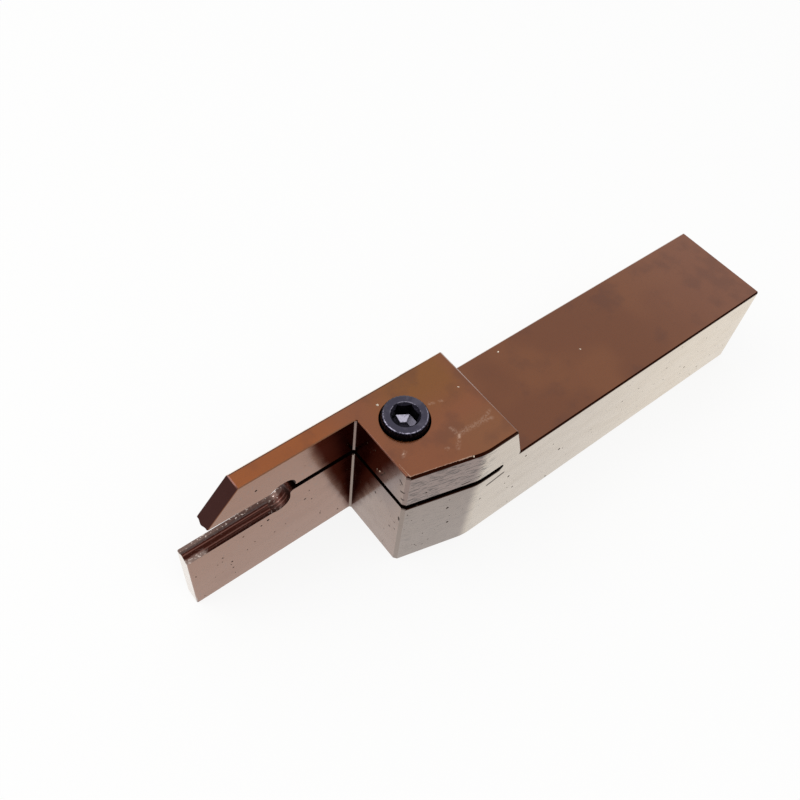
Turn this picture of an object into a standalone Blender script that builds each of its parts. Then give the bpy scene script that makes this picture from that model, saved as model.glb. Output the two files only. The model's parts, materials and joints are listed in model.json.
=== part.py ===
"""Grooving tool holder with a clamping jaw and its socket head cap screw.

The holder is one steel block: a square shank, a raised head, and a thin blade that is slit so that
its upper half can bend down as a jaw. X runs from the blade's tip to the shank's rear end, +Y is the
side that the blade is flush with, and Z is up. The origin is the middle of the bottom of the whole.
"""
import math

import bmesh
import bpy
from mathutils import Matrix

# Driving dimensions in metres: the block
TOTAL_LENGTH = 0.150
SHANK_WIDTH = 0.025
SHANK_HEIGHT = 0.025
HEAD_RISE = 0.0105
HEAD_LENGTH = 0.025
HEAD_BACK_RUN = 0.0033
TAPER_LENGTH = 0.0165
TAPER_DEPTH = 0.0043
TAPER_BLEND_RADIUS = 0.012
FRONT_CORNER_CHAMFER = 0.0006

# The blade and the insert pocket between its two halves
BLADE_REACH = 0.040
BLADE_THICKNESS = 0.004
BLADE_FILLET = 0.0006
JAW_TOP_SETBACK = 0.0128
JAW_NOSE_SETBACK = 0.0054
SEAT_DROP = 0.0063
POCKET_MOUTH_HEIGHT = 0.0084
POCKET_THROAT_HEIGHT = 0.0078
SEAT_RELIEF_REACH = 0.0241
SEAT_RELIEF_RADIUS = 0.003
SEAT_RELIEF_DEPTH = 0.0003
JAW_RELIEF_REACH = 0.0255
JAW_RELIEF_RADIUS = 0.0025
JAW_RELIEF_RISE = 0.0013
JAW_RELIEF_LENGTH = 0.0062
JAW_RAMP_RUN = 0.0023
THROAT_CORNER_RADIUS = 0.0008

# The V ridges that the insert's grooves sit on
RIDGE_LENGTH = 0.0197
RIDGE_WIDTH = 0.0024
RIDGE_HEIGHT = 0.001
RIDGE_CREST_WIDTH = 0.0004
JAW_RIDGE_HEIGHT = 0.0003
JAW_RIDGE_END_GAP = 0.0006

# The slit that lets the jaw bend
SLIT_WIDTH = 0.0016
SLIT_DROP = 0.0011
SLIT_END_SETBACK = 0.0016

# Edge breaks
SHANK_EDGE_BREAK = 0.00035
REAR_EDGE_BREAK = 0.0008
HEAD_EDGE_BREAK = 0.00045
BLADE_EDGE_BREAK = 0.00025

# The clamp screw, M6 x 20, and its place
THREAD_DIAMETER = 0.006
SCREW_LENGTH = 0.020
SCREW_HEAD_DIAMETER = 0.0098
SCREW_HEAD_HEIGHT = 0.006
SCREW_HEAD_EDGE = 0.0004
SCREW_TIP_CHAMFER = 0.0006
SCREW_PROUD = 0.0017
SCREW_SETBACK = 0.008
SCREW_INSET = 0.0095
HEX_ACROSS_FLATS = 0.005
HEX_DEPTH = 0.0037
HEX_FLOOR_FALL = 0.0007
HEX_FLOOR_DIAMETER = 0.0026
HEX_MOUTH_DIAMETER = 0.0062
HEX_TURN_DEGREES = 28.0

# The screw's hole in the block
SCREW_GAP = 0.0003
TAP_SPARE_DEPTH = 0.003
DRILL_POINT_DEGREES = 118.0

# Fineness
ROUND_STEPS = 48
ARC_STEP_DEGREES = 9.0
OVERSHOOT = 0.002
LEAST_BROKEN_TURN_DEGREES = 45.0
SMOOTH_DEGREES = 30.0

# Places that follow from the dimensions
X_TIP = -TOTAL_LENGTH / 2
X_REAR = TOTAL_LENGTH / 2
Y_FAR = SHANK_WIDTH / 2
Y_NEAR = -SHANK_WIDTH / 2
Y_BLADE = Y_FAR - BLADE_THICKNESS
X_HEAD_FRONT = X_TIP + BLADE_REACH
X_HEAD_BACK = X_HEAD_FRONT + HEAD_LENGTH
Z_TOP = SHANK_HEIGHT + HEAD_RISE
Z_SEAT = SHANK_HEIGHT - SEAT_DROP
Z_SLIT = SHANK_HEIGHT - SLIT_DROP
X_JAW_LAND_END = X_TIP + JAW_RELIEF_REACH - JAW_RELIEF_LENGTH
X_SCREW = X_HEAD_FRONT + SCREW_SETBACK
Y_SCREW = Y_FAR - SCREW_INSET
Z_SCREW_SEAT = Z_TOP + SCREW_PROUD - SCREW_HEAD_HEIGHT

STEEL_BROWN = (0.30, 0.13, 0.065, 1.0)
OXIDE_BLACK = (0.03, 0.03, 0.045, 1.0)


def clear_scene():
    """Remove every object of the scene, so that the script can run again."""
    for thing in list(bpy.data.objects):
        bpy.data.objects.remove(thing, do_unlink=True)


def new_collection(name):
    """Make a collection under the scene's own and return it."""
    collection = bpy.data.collections.new(name)
    bpy.context.scene.collection.children.link(collection)
    return collection


def steel(name, colour, roughness):
    """Return a metal material with one Principled BSDF."""
    material = bpy.data.materials.new(name)
    material.use_nodes = True
    shader = material.node_tree.nodes["Principled BSDF"]
    shader.inputs["Base Color"].default_value = colour
    shader.inputs["Metallic"].default_value = 1.0
    shader.inputs["Roughness"].default_value = roughness
    return material


def arc(centre, radius, start, end):
    """Return points on a circle from one angle to another, in degrees, both ends included."""
    count = max(2, math.ceil(abs(end - start) / ARC_STEP_DEGREES))
    points = []
    for step in range(count + 1):
        angle = math.radians(start + (end - start) * step / count)
        points.append((centre[0] + radius * math.cos(angle), centre[1] + radius * math.sin(angle)))
    return points


def mesh_object(name, mesh, collection):
    """Link a mesh to a collection as an object."""
    made = bpy.data.objects.new(name, mesh)
    collection.objects.link(made)
    return made


def extruded_outline(name, points, low, high, turn, collection):
    """Extrude a closed outline from low to high along its normal, which turn points where it goes."""
    curve = bpy.data.curves.new(name, "CURVE")
    curve.dimensions = "2D"
    curve.fill_mode = "BOTH"
    curve.extrude = (high - low) / 2
    spline = curve.splines.new("POLY")
    spline.points.add(len(points) - 1)
    for point, (across, along) in zip(spline.points, points):
        point.co = (across, along, 0.0, 1.0)
    spline.use_cyclic_u = True
    outline = bpy.data.objects.new(name + "_outline", curve)
    outline.matrix_world = turn @ Matrix.Translation((0.0, 0.0, (low + high) / 2))
    collection.objects.link(outline)
    bpy.context.view_layer.update()
    mesh = bpy.data.meshes.new_from_object(outline.evaluated_get(bpy.context.evaluated_depsgraph_get()))
    welder = bmesh.new()
    welder.from_mesh(mesh)
    bmesh.ops.remove_doubles(welder, verts=welder.verts, dist=1e-6)
    bmesh.ops.recalc_face_normals(welder, faces=welder.faces)
    welder.to_mesh(mesh)
    welder.free()
    solid = mesh_object(name, mesh, collection)
    solid.matrix_world = outline.matrix_world
    bpy.data.objects.remove(outline, do_unlink=True)
    return solid


def turned(name, profile, steps, collection):
    """Turn a profile of (radius, height) points, listed from top to bottom, about the Z axis."""
    mesh = bpy.data.meshes.new(name)
    edges = [(number, number + 1) for number in range(len(profile) - 1)]
    mesh.from_pydata([(radius, 0.0, height) for radius, height in profile], edges, [])
    solid = mesh_object(name, mesh, collection)
    screw = solid.modifiers.new("turn", "SCREW")
    screw.axis = "Z"
    screw.angle = math.tau
    screw.steps = steps
    screw.render_steps = steps
    screw.use_merge_vertices = True
    screw.merge_threshold = 1e-6
    return solid


def boolean(target, operation, other):
    """Add a Boolean modifier, and mark the other object as a cutter."""
    modifier = target.modifiers.new(operation.lower() + "_" + other.name, "BOOLEAN")
    modifier.operation = operation
    modifier.solver = "EXACT"
    modifier.object = other
    other.display_type = "WIRE"
    other.hide_render = True


# How each outline's plane lies: seen from the near side, from above, and along the shank
SIDE_VIEW = Matrix(((1, 0, 0, 0), (0, 0, -1, 0), (0, 1, 0, 0), (0, 0, 0, 1)))
TOP_VIEW = Matrix.Identity(4)
END_VIEW = Matrix(((0, 0, 1, 0), (1, 0, 0, 0), (0, 1, 0, 0), (0, 0, 0, 1)))


def jaw_front(height):
    """Return the X of the jaw's sloping front face at a height."""
    nose_height = Z_SEAT + POCKET_MOUTH_HEIGHT
    slope = (JAW_TOP_SETBACK - JAW_NOSE_SETBACK) / (Z_TOP - nose_height)
    return X_TIP + JAW_NOSE_SETBACK + slope * (height - nose_height)


def jaw_land(x):
    """Return the height of the jaw's lower face, which rises a little towards its nose."""
    x_nose = X_TIP + JAW_NOSE_SETBACK
    rise = (POCKET_MOUTH_HEIGHT - POCKET_THROAT_HEIGHT) / (X_JAW_LAND_END - x_nose)
    return Z_SEAT + POCKET_THROAT_HEIGHT + rise * (X_JAW_LAND_END - x)


def side_outline():
    """Return the block's outline from the side; the pocket later cuts the jaw from the blade."""
    z_pocket_middle = Z_SEAT + POCKET_THROAT_HEIGHT / 2
    return [
        (X_REAR, 0.0),
        (X_REAR, SHANK_HEIGHT),
        (X_HEAD_BACK + HEAD_BACK_RUN, SHANK_HEIGHT),
        (X_HEAD_BACK, Z_TOP),
        (jaw_front(Z_TOP), Z_TOP),
        (jaw_front(z_pocket_middle), z_pocket_middle),
        (X_TIP, z_pocket_middle),
        (X_TIP, 0.0),
    ]


def plan_outline():
    """Return the block's outline from above, with the tapered head and the fillet by the blade."""
    x_bend = X_HEAD_FRONT + TAPER_LENGTH
    taper = math.atan2(TAPER_DEPTH, TAPER_LENGTH)
    tangent = TAPER_BLEND_RADIUS * math.tan(taper / 2)
    blend = arc((x_bend + tangent, Y_NEAR + TAPER_BLEND_RADIUS), TAPER_BLEND_RADIUS,
                270.0, 270.0 - math.degrees(taper))
    y_front = Y_NEAR + TAPER_DEPTH
    corner = [
        (X_HEAD_FRONT + FRONT_CORNER_CHAMFER * math.cos(taper),
         y_front - FRONT_CORNER_CHAMFER * math.sin(taper)),
        (X_HEAD_FRONT, y_front + FRONT_CORNER_CHAMFER),
    ]
    fillet = arc((X_HEAD_FRONT - BLADE_FILLET, Y_BLADE - BLADE_FILLET), BLADE_FILLET, 0.0, 90.0)
    return [(X_REAR, Y_FAR), (X_REAR, Y_NEAR)] + blend + corner + fillet + [(X_TIP, Y_BLADE), (X_TIP, Y_FAR)]


def pocket_outline():
    """Return the outline of the insert pocket, its two reliefs and the slit, as one wire cut."""
    z_slit_low = Z_SLIT - SLIT_WIDTH / 2
    z_slit_high = Z_SLIT + SLIT_WIDTH / 2
    x_wall = X_TIP + SEAT_RELIEF_REACH
    seat_centre = (x_wall - SEAT_RELIEF_RADIUS, Z_SEAT - SEAT_RELIEF_DEPTH + SEAT_RELIEF_RADIUS)
    entry = -90.0 - math.degrees(math.acos(1.0 - SEAT_RELIEF_DEPTH / SEAT_RELIEF_RADIUS))
    seat_relief = arc(seat_centre, SEAT_RELIEF_RADIUS, entry, 0.0)
    corner_centre = (x_wall + THROAT_CORNER_RADIUS, z_slit_low - THROAT_CORNER_RADIUS)
    throat_corner = arc(corner_centre, THROAT_CORNER_RADIUS, 180.0, 90.0)
    x_slit_end = X_HEAD_BACK - SLIT_END_SETBACK - SLIT_WIDTH / 2
    slit_end = arc((x_slit_end, Z_SLIT), SLIT_WIDTH / 2, -90.0, 90.0)
    z_relief = Z_SEAT + POCKET_THROAT_HEIGHT + JAW_RELIEF_RISE
    jaw_centre = (X_TIP + JAW_RELIEF_REACH - JAW_RELIEF_RADIUS, z_relief - JAW_RELIEF_RADIUS)
    slit_meets = math.degrees(math.asin((z_slit_high - jaw_centre[1]) / JAW_RELIEF_RADIUS))
    jaw_relief = arc(jaw_centre, JAW_RELIEF_RADIUS, slit_meets, 90.0)
    ramp_top = (X_JAW_LAND_END + JAW_RAMP_RUN, z_relief)
    x_outside = X_TIP - OVERSHOOT
    land = [(X_JAW_LAND_END, jaw_land(X_JAW_LAND_END)), (x_outside, jaw_land(x_outside))]
    return seat_relief + throat_corner + slit_end + jaw_relief + [ramp_top] + land + [(x_outside, Z_SEAT)]


def ridge_outline(base, rise):
    """Return the section of a V ridge whose foot is at base and whose crest is rise above it."""
    middle = (Y_BLADE + Y_FAR) / 2
    flank = (RIDGE_WIDTH - RIDGE_CREST_WIDTH) / 2 / abs(rise)
    half_root = RIDGE_WIDTH / 2 + flank * OVERSHOOT
    root = base - math.copysign(OVERSHOOT, rise)
    return [
        (middle - half_root, root),
        (middle + half_root, root),
        (middle + RIDGE_CREST_WIDTH / 2, base + rise),
        (middle - RIDGE_CREST_WIDTH / 2, base + rise),
    ]


def make_pocket_cutter(cutters):
    """Make the pocket's cutter, with the two ridges left out of it."""
    cutter = extruded_outline("pocket_and_slit", pocket_outline(), Y_NEAR - OVERSHOOT, Y_FAR + OVERSHOOT,
                              SIDE_VIEW, cutters)
    x_start = X_TIP - 2 * OVERSHOOT
    seat_ridge = extruded_outline("seat_ridge", ridge_outline(Z_SEAT, RIDGE_HEIGHT), x_start,
                                  X_TIP + RIDGE_LENGTH, END_VIEW, cutters)
    x_end = X_JAW_LAND_END - JAW_RIDGE_END_GAP
    slope = math.atan2(jaw_land(x_start) - jaw_land(x_end), x_end - x_start)
    lean = Matrix.Translation((x_end, 0.0, jaw_land(x_end))) @ Matrix.Rotation(slope, 4, "Y")
    jaw_ridge = extruded_outline("jaw_ridge", ridge_outline(0.0, -JAW_RIDGE_HEIGHT), x_start - x_end,
                                 0.0, lean @ END_VIEW, cutters)
    boolean(cutter, "DIFFERENCE", seat_ridge)
    boolean(cutter, "DIFFERENCE", jaw_ridge)
    return cutter


def make_screw_hole_cutter(cutters):
    """Make the stepped cutter of the counterbore, the clearance hole and the tapped hole."""
    z_seat = Z_SCREW_SEAT - SCREW_GAP
    z_bottom = Z_SCREW_SEAT - SCREW_LENGTH - TAP_SPARE_DEPTH
    hole_radius = THREAD_DIAMETER / 2 + SCREW_GAP
    point_depth = hole_radius / math.tan(math.radians(DRILL_POINT_DEGREES / 2))
    bore_radius = SCREW_HEAD_DIAMETER / 2 + SCREW_GAP
    z_above = Z_TOP + OVERSHOOT
    profile = [
        (0.0, z_above),
        (bore_radius, z_above),
        (bore_radius, z_seat),
        (hole_radius, z_seat),
        (hole_radius, z_bottom),
        (0.0, z_bottom - point_depth),
    ]
    cutter = turned("screw_hole", profile, ROUND_STEPS, cutters)
    cutter.location = (X_SCREW, Y_SCREW, 0.0)
    return cutter


def edge_break(start, end, turn):
    """Return how wide an outer edge of the block is broken, from where it lies and how sharp it is."""
    near = 1e-5
    if turn < math.radians(LEAST_BROKEN_TURN_DEGREES):
        return 0.0
    if min(start.x, end.x) > X_REAR - near:
        return REAR_EDGE_BREAK
    if max(start.x, end.x) < X_HEAD_FRONT + near:
        return BLADE_EDGE_BREAK
    on_blade_side = min(start.y, end.y) > Y_FAR - near and min(start.x, end.x) < X_HEAD_BACK
    round_head_top = min(start.z, end.z) > Z_TOP - near
    if on_blade_side or round_head_top:
        return HEAD_EDGE_BREAK
    return SHANK_EDGE_BREAK


def weigh_edges(mesh, widest):
    """Give each edge its share of the widest break, for the Bevel modifier to read."""
    shape = bmesh.new()
    shape.from_mesh(mesh)
    weights = shape.edges.layers.float.new("bevel_weight_edge")
    for edge in shape.edges:
        start, end = edge.verts
        edge[weights] = edge_break(start.co, end.co, abs(edge.calc_face_angle_signed())) / widest
    shape.to_mesh(mesh)
    shape.free()


def make_holder_body(parts, cutters):
    """Make the block from its two outlines, break its edges, then cut the pocket and the hole."""
    side = extruded_outline("side_view", side_outline(), -Y_FAR, -Y_NEAR, SIDE_VIEW, cutters)
    plan = extruded_outline("plan_view", plan_outline(), -OVERSHOOT, Z_TOP + OVERSHOOT, TOP_VIEW, cutters)
    boolean(side, "INTERSECT", plan)
    bpy.context.view_layer.update()
    mesh = bpy.data.meshes.new_from_object(side.evaluated_get(bpy.context.evaluated_depsgraph_get()))
    mesh.transform(side.matrix_world)
    bpy.data.objects.remove(side, do_unlink=True)
    bpy.data.objects.remove(plan, do_unlink=True)
    widest = max(SHANK_EDGE_BREAK, REAR_EDGE_BREAK, HEAD_EDGE_BREAK, BLADE_EDGE_BREAK)
    weigh_edges(mesh, widest)
    body = mesh_object("holder_body", mesh, parts)
    bevel = body.modifiers.new("edge_breaks", "BEVEL")
    bevel.limit_method = "WEIGHT"
    bevel.offset_type = "OFFSET"
    bevel.width = widest
    bevel.segments = 2
    boolean(body, "DIFFERENCE", make_pocket_cutter(cutters))
    boolean(body, "DIFFERENCE", make_screw_hole_cutter(cutters))
    body.data.materials.clear()
    body.data.materials.append(steel("brown_finished_steel", STEEL_BROWN, 0.3))
    return body


def make_clamp_screw(parts, cutters):
    """Make the socket head cap screw with its origin on its axis, under its head."""
    head_radius = SCREW_HEAD_DIAMETER / 2
    thread_radius = THREAD_DIAMETER / 2
    profile = [
        (0.0, SCREW_HEAD_HEIGHT),
        (head_radius - SCREW_HEAD_EDGE, SCREW_HEAD_HEIGHT),
        (head_radius, SCREW_HEAD_HEIGHT - SCREW_HEAD_EDGE),
        (head_radius, 0.0),
        (thread_radius, 0.0),
        (thread_radius, SCREW_TIP_CHAMFER - SCREW_LENGTH),
        (thread_radius - SCREW_TIP_CHAMFER, -SCREW_LENGTH),
        (0.0, -SCREW_LENGTH),
    ]
    screw = turned("clamp_screw", profile, ROUND_STEPS, parts)
    screw.location = (X_SCREW, Y_SCREW, Z_SCREW_SEAT)
    corner_radius = HEX_ACROSS_FLATS / math.sqrt(3)
    z_floor = SCREW_HEAD_HEIGHT - HEX_DEPTH
    z_above = SCREW_HEAD_HEIGHT + OVERSHOOT
    socket_profile = [
        (0.0, z_above),
        (corner_radius, z_above),
        (corner_radius, z_floor),
        (HEX_FLOOR_DIAMETER / 2, z_floor - HEX_FLOOR_FALL),
        (0.0, z_floor - HEX_FLOOR_FALL),
    ]
    socket = turned("hex_socket", socket_profile, 6, cutters)
    mouth_radius = HEX_MOUTH_DIAMETER / 2
    mouth_profile = [
        (0.0, z_above),
        (mouth_radius + OVERSHOOT, z_above),
        (0.0, SCREW_HEAD_HEIGHT - mouth_radius),
    ]
    mouth = turned("socket_mouth", mouth_profile, ROUND_STEPS, cutters)
    for cutter in (socket, mouth):
        cutter.location = screw.location
        cutter.rotation_euler.z = math.radians(HEX_TURN_DEGREES)
        boolean(screw, "DIFFERENCE", cutter)
    screw.data.materials.append(steel("oxide_black_steel", OXIDE_BLACK, 0.35))
    return screw


def finish(thing):
    """Keep the finished shape as the object's mesh, shade its round faces smooth and its edges sharp."""
    bpy.context.view_layer.update()
    mesh = bpy.data.meshes.new_from_object(thing.evaluated_get(bpy.context.evaluated_depsgraph_get()))
    thing.modifiers.clear()
    thing.data = mesh
    mesh.shade_smooth()
    mesh.set_sharp_from_angle(angle=math.radians(SMOOTH_DEGREES))


def main():
    """Build the holder and its screw."""
    clear_scene()
    parts = new_collection("grooving_tool_holder")
    cutters = new_collection("cutters")
    finish(make_holder_body(parts, cutters))
    finish(make_clamp_screw(parts, cutters))
    bpy.context.view_layer.update()


main()
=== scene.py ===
"""Looks of a grooving tool holder: a browned steel block with a slit jaw, and its black clamp screw.

Lengths and places are in metres in the part's own frame: X runs from the blade's tip to the shank's
rear end, the blade is flush with the side at +Y, and Z is up. The block and the screw are modelled
again here with finer edges, pits, nicks, knurl and thread, inside the outlines of the solids. The
finishes read places in millimetres, because their patterns and marks are a fraction of one wide.
"""

import json
import logging
import math
import random
from dataclasses import dataclass, replace
from enum import Enum

import bmesh
import bpy
from mathutils import Matrix, Vector


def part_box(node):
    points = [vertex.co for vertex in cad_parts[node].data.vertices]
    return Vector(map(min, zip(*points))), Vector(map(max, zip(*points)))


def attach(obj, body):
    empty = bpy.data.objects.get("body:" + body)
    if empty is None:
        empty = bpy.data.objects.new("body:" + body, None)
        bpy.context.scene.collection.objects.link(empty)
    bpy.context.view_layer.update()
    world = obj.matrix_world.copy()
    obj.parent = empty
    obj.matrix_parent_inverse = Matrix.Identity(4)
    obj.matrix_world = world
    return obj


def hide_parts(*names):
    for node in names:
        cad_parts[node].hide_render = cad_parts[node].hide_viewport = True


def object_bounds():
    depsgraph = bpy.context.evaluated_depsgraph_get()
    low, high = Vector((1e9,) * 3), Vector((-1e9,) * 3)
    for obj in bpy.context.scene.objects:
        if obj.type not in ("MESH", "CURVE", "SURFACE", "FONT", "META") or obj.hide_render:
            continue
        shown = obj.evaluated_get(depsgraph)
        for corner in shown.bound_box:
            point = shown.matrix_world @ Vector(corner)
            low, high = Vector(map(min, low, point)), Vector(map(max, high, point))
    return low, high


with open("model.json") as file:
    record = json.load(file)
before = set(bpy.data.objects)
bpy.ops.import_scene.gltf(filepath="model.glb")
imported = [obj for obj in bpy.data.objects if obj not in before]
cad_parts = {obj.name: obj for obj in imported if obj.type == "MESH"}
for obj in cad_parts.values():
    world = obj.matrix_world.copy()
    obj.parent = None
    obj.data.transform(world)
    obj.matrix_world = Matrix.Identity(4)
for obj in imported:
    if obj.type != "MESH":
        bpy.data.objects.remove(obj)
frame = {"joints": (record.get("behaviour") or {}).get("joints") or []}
cad_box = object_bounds()

LOG = logging.getLogger("grooving_tool_holder")
MM = 0.001
# How far a cutting tool reaches past the steel.
OVERSHOOT = 2.0 * MM

Tree = bpy.types.NodeTree
Socket = bpy.types.NodeSocket
Finish = bpy.types.Material
Thing = bpy.types.Object
Shape = bmesh.types.BMesh
Point = tuple[float, float]
Spot = tuple[float, float, float]
Outline = list[Point]
Ring = list[Vector]
# The two ends of a scratch, and its width.
Line = tuple[Spot, Spot, float]
# A signal, where its mask is zero, and where it is full.
Limit = tuple[Socket, float, float]
# A mask or the limits of one, a colour as hex, and how well that covers.
Coat = tuple[Socket | list[Limit], str, float]


class View(Enum):
    """How a flat outline lies in the part's frame, as the axes that its two numbers and its depth follow."""

    SIDE = ((1, 0, 0), (0, 0, 1), (0, 1, 0))
    TOP = ((1, 0, 0), (0, 1, 0), (0, 0, 1))
    END = ((0, 0, 1), (1, 0, 0), (0, 1, 0))


class Wall(Enum):
    """The kinds of wall that the block has, in the order of its material slots."""

    BROWNED = 0
    WIRE_CUT = 1
    PIT = 2
    NICK = 3


def linear(hex_colour: str) -> tuple[float, float, float, float]:
    """Turn an sRGB hex colour into linear RGBA.

    Args:
        hex_colour: The colour as #rrggbb.

    Returns:
        Its linear red, green, blue and an alpha of one.
    """
    channels = [int(hex_colour[start:start + 2], 16) / 255 for start in (1, 3, 5)]
    red, green, blue = (c / 12.92 if c <= 0.04045 else ((c + 0.055) / 1.055) ** 2.4 for c in channels)
    return red, green, blue, 1.0


def add(tree: Tree, kind: str, inputs: dict | None = None, **settings: object) -> bpy.types.Node:
    """Add a node with its settings and links.

    Args:
        tree: The node tree that it goes in.
        kind: The node's type without the words ShaderNode.
        inputs: Values or sockets by input name or number.
        **settings: The node's own properties.

    Returns:
        The node.
    """
    node = tree.nodes.new("ShaderNode" + kind)
    for name, value in settings.items():
        setattr(node, name, value)
    for key, value in (inputs or {}).items():
        if isinstance(value, Socket):
            tree.links.new(value, node.inputs[key])
        else:
            node.inputs[key].default_value = value
    return node


def where(tree: Tree, *limits: Limit, share: float = 1.0) -> Socket:
    """Build a mask that is full only where every signal has passed its limit.

    Args:
        tree: The node tree.
        *limits: For each signal, the socket, where the mask is zero and where it is full.
        share: What the mask reaches where it is full.

    Returns:
        The mask's socket.
    """
    mask = share
    for signal, zero_at, full_at in limits:
        step = add(tree, "MapRange", {0: signal, 1: zero_at, 2: full_at, 4: mask},
                   interpolation_type="SMOOTHSTEP")
        mask = step.outputs[0]
    return mask


def most(tree: Tree, *masks: Socket) -> Socket:
    """Join masks by taking the largest at each point.

    Args:
        tree: The node tree.
        *masks: The masks' sockets.

    Returns:
        The socket of the joined mask.
    """
    joined = masks[0]
    for mask in masks[1:]:
        joined = add(tree, "Math", {0: joined, 1: mask}, operation="MAXIMUM").outputs[0]
    return joined


def coated(tree: Tree, ground: str, coats: list[Coat]) -> Socket:
    """Paint a ground colour with one coat of colour after another.

    Args:
        tree: The node tree.
        ground: The first colour, as hex.
        coats: For each coat, its mask or the limits of its mask, its colour as hex and how well it covers.

    Returns:
        The socket of the finished colour.
    """
    colour = linear(ground)
    for mask, over, cover in coats:
        if isinstance(mask, list):
            share = where(tree, *mask, share=cover)
        else:
            share = add(tree, "Math", {0: mask, 1: cover}, operation="MULTIPLY").outputs[0]
        colour = add(tree, "Mix", {0: share, 6: colour, 7: linear(over)}, data_type="RGBA").outputs[2]
    return colour


def bare_material(name: str) -> tuple[Finish, Tree]:
    """Make a material that has no nodes yet.

    Args:
        name: The material's name.

    Returns:
        The material and its node tree.
    """
    made = bpy.data.materials.new(name)
    made.use_nodes = True
    made.node_tree.nodes.clear()
    return made, made.node_tree


@dataclass(frozen=True)
class Surface:
    """What a finish reads of a point: its place in millimetres, and which way the surface faces.

    Both are the piece's own coordinates, so that a finish stays on its piece from every side.

    Attributes:
        place: The point, and x, y and z are its parts.
        facing_x: How far the surface faces the shank's rear end.
        facing_y: How far it faces the flush side.
        facing_z: How far it faces up.
        near: How far it faces away from the flush side.
        front: How far it faces the blade's tip.
        level: How far it faces up or down.
    """

    place: Socket
    x: Socket
    y: Socket
    z: Socket
    facing_x: Socket
    facing_y: Socket
    facing_z: Socket
    near: Socket
    front: Socket
    level: Socket

    @classmethod
    def of(cls, tree: Tree) -> "Surface":
        """Read the surface in a node tree.

        Args:
            tree: The node tree.

        Returns:
            The surface's sockets.
        """
        source = add(tree, "TexCoord")
        place = add(tree, "VectorMath", {0: source.outputs["Object"], "Scale": 1 / MM}, operation="SCALE")
        at = add(tree, "SeparateXYZ", {0: place.outputs[0]})
        facing = add(tree, "SeparateXYZ", {0: source.outputs["Normal"]})
        near, front = (add(tree, "Math", {0: facing.outputs[axis], 1: -1.0}, operation="MULTIPLY").outputs[0]
                       for axis in "YX")
        level = add(tree, "Math", {0: facing.outputs["Z"]}, operation="ABSOLUTE").outputs[0]
        return cls(place.outputs[0], *at.outputs, *facing.outputs, near, front, level)

    def cloud(self, tree: Tree, size: Spot | float, detail: float = 2.0) -> Socket:
        """Make soft random patches of a real size.

        Args:
            tree: The node tree.
            size: The patches' size in millimetres, or their lengths along X, Y and Z.
            detail: How many finer layers they have.

        Returns:
            A socket from 0 to 1, mostly near a half.
        """
        lengths = (size, size, size) if isinstance(size, float) else size
        stretch = tuple(1 / length for length in lengths)
        place = add(tree, "VectorMath", {0: self.place, 1: stretch}, operation="MULTIPLY")
        found = add(tree, "TexNoise", {"Vector": place.outputs[0], "Scale": 1.0, "Detail": detail})
        return found.outputs[0]

    def shaken(self, tree: Tree, size: float, amount: float) -> "Surface":
        """Move the places about at random, so that what is drawn there gets a ragged outline.

        Args:
            tree: The node tree.
            size: The size of the waves in millimetres.
            amount: How far they move a place, in millimetres.

        Returns:
            The same surface, read at the moved places.
        """
        place = add(tree, "VectorMath", {0: self.place, "Scale": 1 / size}, operation="SCALE").outputs[0]
        noise = add(tree, "TexNoise", {"Vector": place, "Scale": 1.0, "Detail": 3.0}).outputs[1]
        middle = add(tree, "VectorMath", {0: noise, 1: (0.5, 0.5, 0.5)}, operation="SUBTRACT").outputs[0]
        shift = add(tree, "VectorMath", {0: middle, "Scale": 2 * amount}, operation="SCALE").outputs[0]
        moved = add(tree, "VectorMath", {0: self.place, 1: shift}, operation="ADD").outputs[0]
        return replace(self, place=moved)

    def stroke(self, tree: Tree, line: Line) -> Socket:
        """Draw one straight scratch.

        Args:
            tree: The node tree.
            line: The scratch's two ends and its width, in millimetres.

        Returns:
            A mask that is one on the line and falls to zero at half its width.
        """
        start, end, width = line
        way = Vector(end) - Vector(start)
        shift = add(tree, "VectorMath", {0: self.place, 1: start}, operation="SUBTRACT").outputs[0]
        share = add(tree, "VectorMath", {0: shift, 1: way / way.length_squared}, operation="DOT_PRODUCT")
        kept = add(tree, "Clamp", {0: share.outputs["Value"]}).outputs[0]
        nearest = add(tree, "VectorMath", {0: way, "Scale": kept}, operation="SCALE").outputs[0]
        away = add(tree, "VectorMath", {0: shift, 1: nearest}, operation="DISTANCE").outputs["Value"]
        return where(tree, (away, width / 2, 0.0))

    def strokes(self, tree: Tree, lines: list[Line]) -> Socket:
        """Draw several scratches into one mask."""
        return most(tree, *[self.stroke(tree, line) for line in lines])


@dataclass(frozen=True)
class BlockMarks:
    """The masks of the block's marks, and of its painted dark edges and painted corner shade.

    Attributes:
        scuffs: Light scuffs and rubs, and painted highlights along the head's top edges.
        edges: Painted dark reflection along the near top edges, and painted shade under the slit.
        corner: The painted shade in the inner corner beside the blade.
        lines: Dark scratches.
        dashes: The cutter's dark dashes.
    """

    scuffs: Socket
    edges: Socket
    corner: Socket
    lines: Socket
    dashes: Socket


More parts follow.
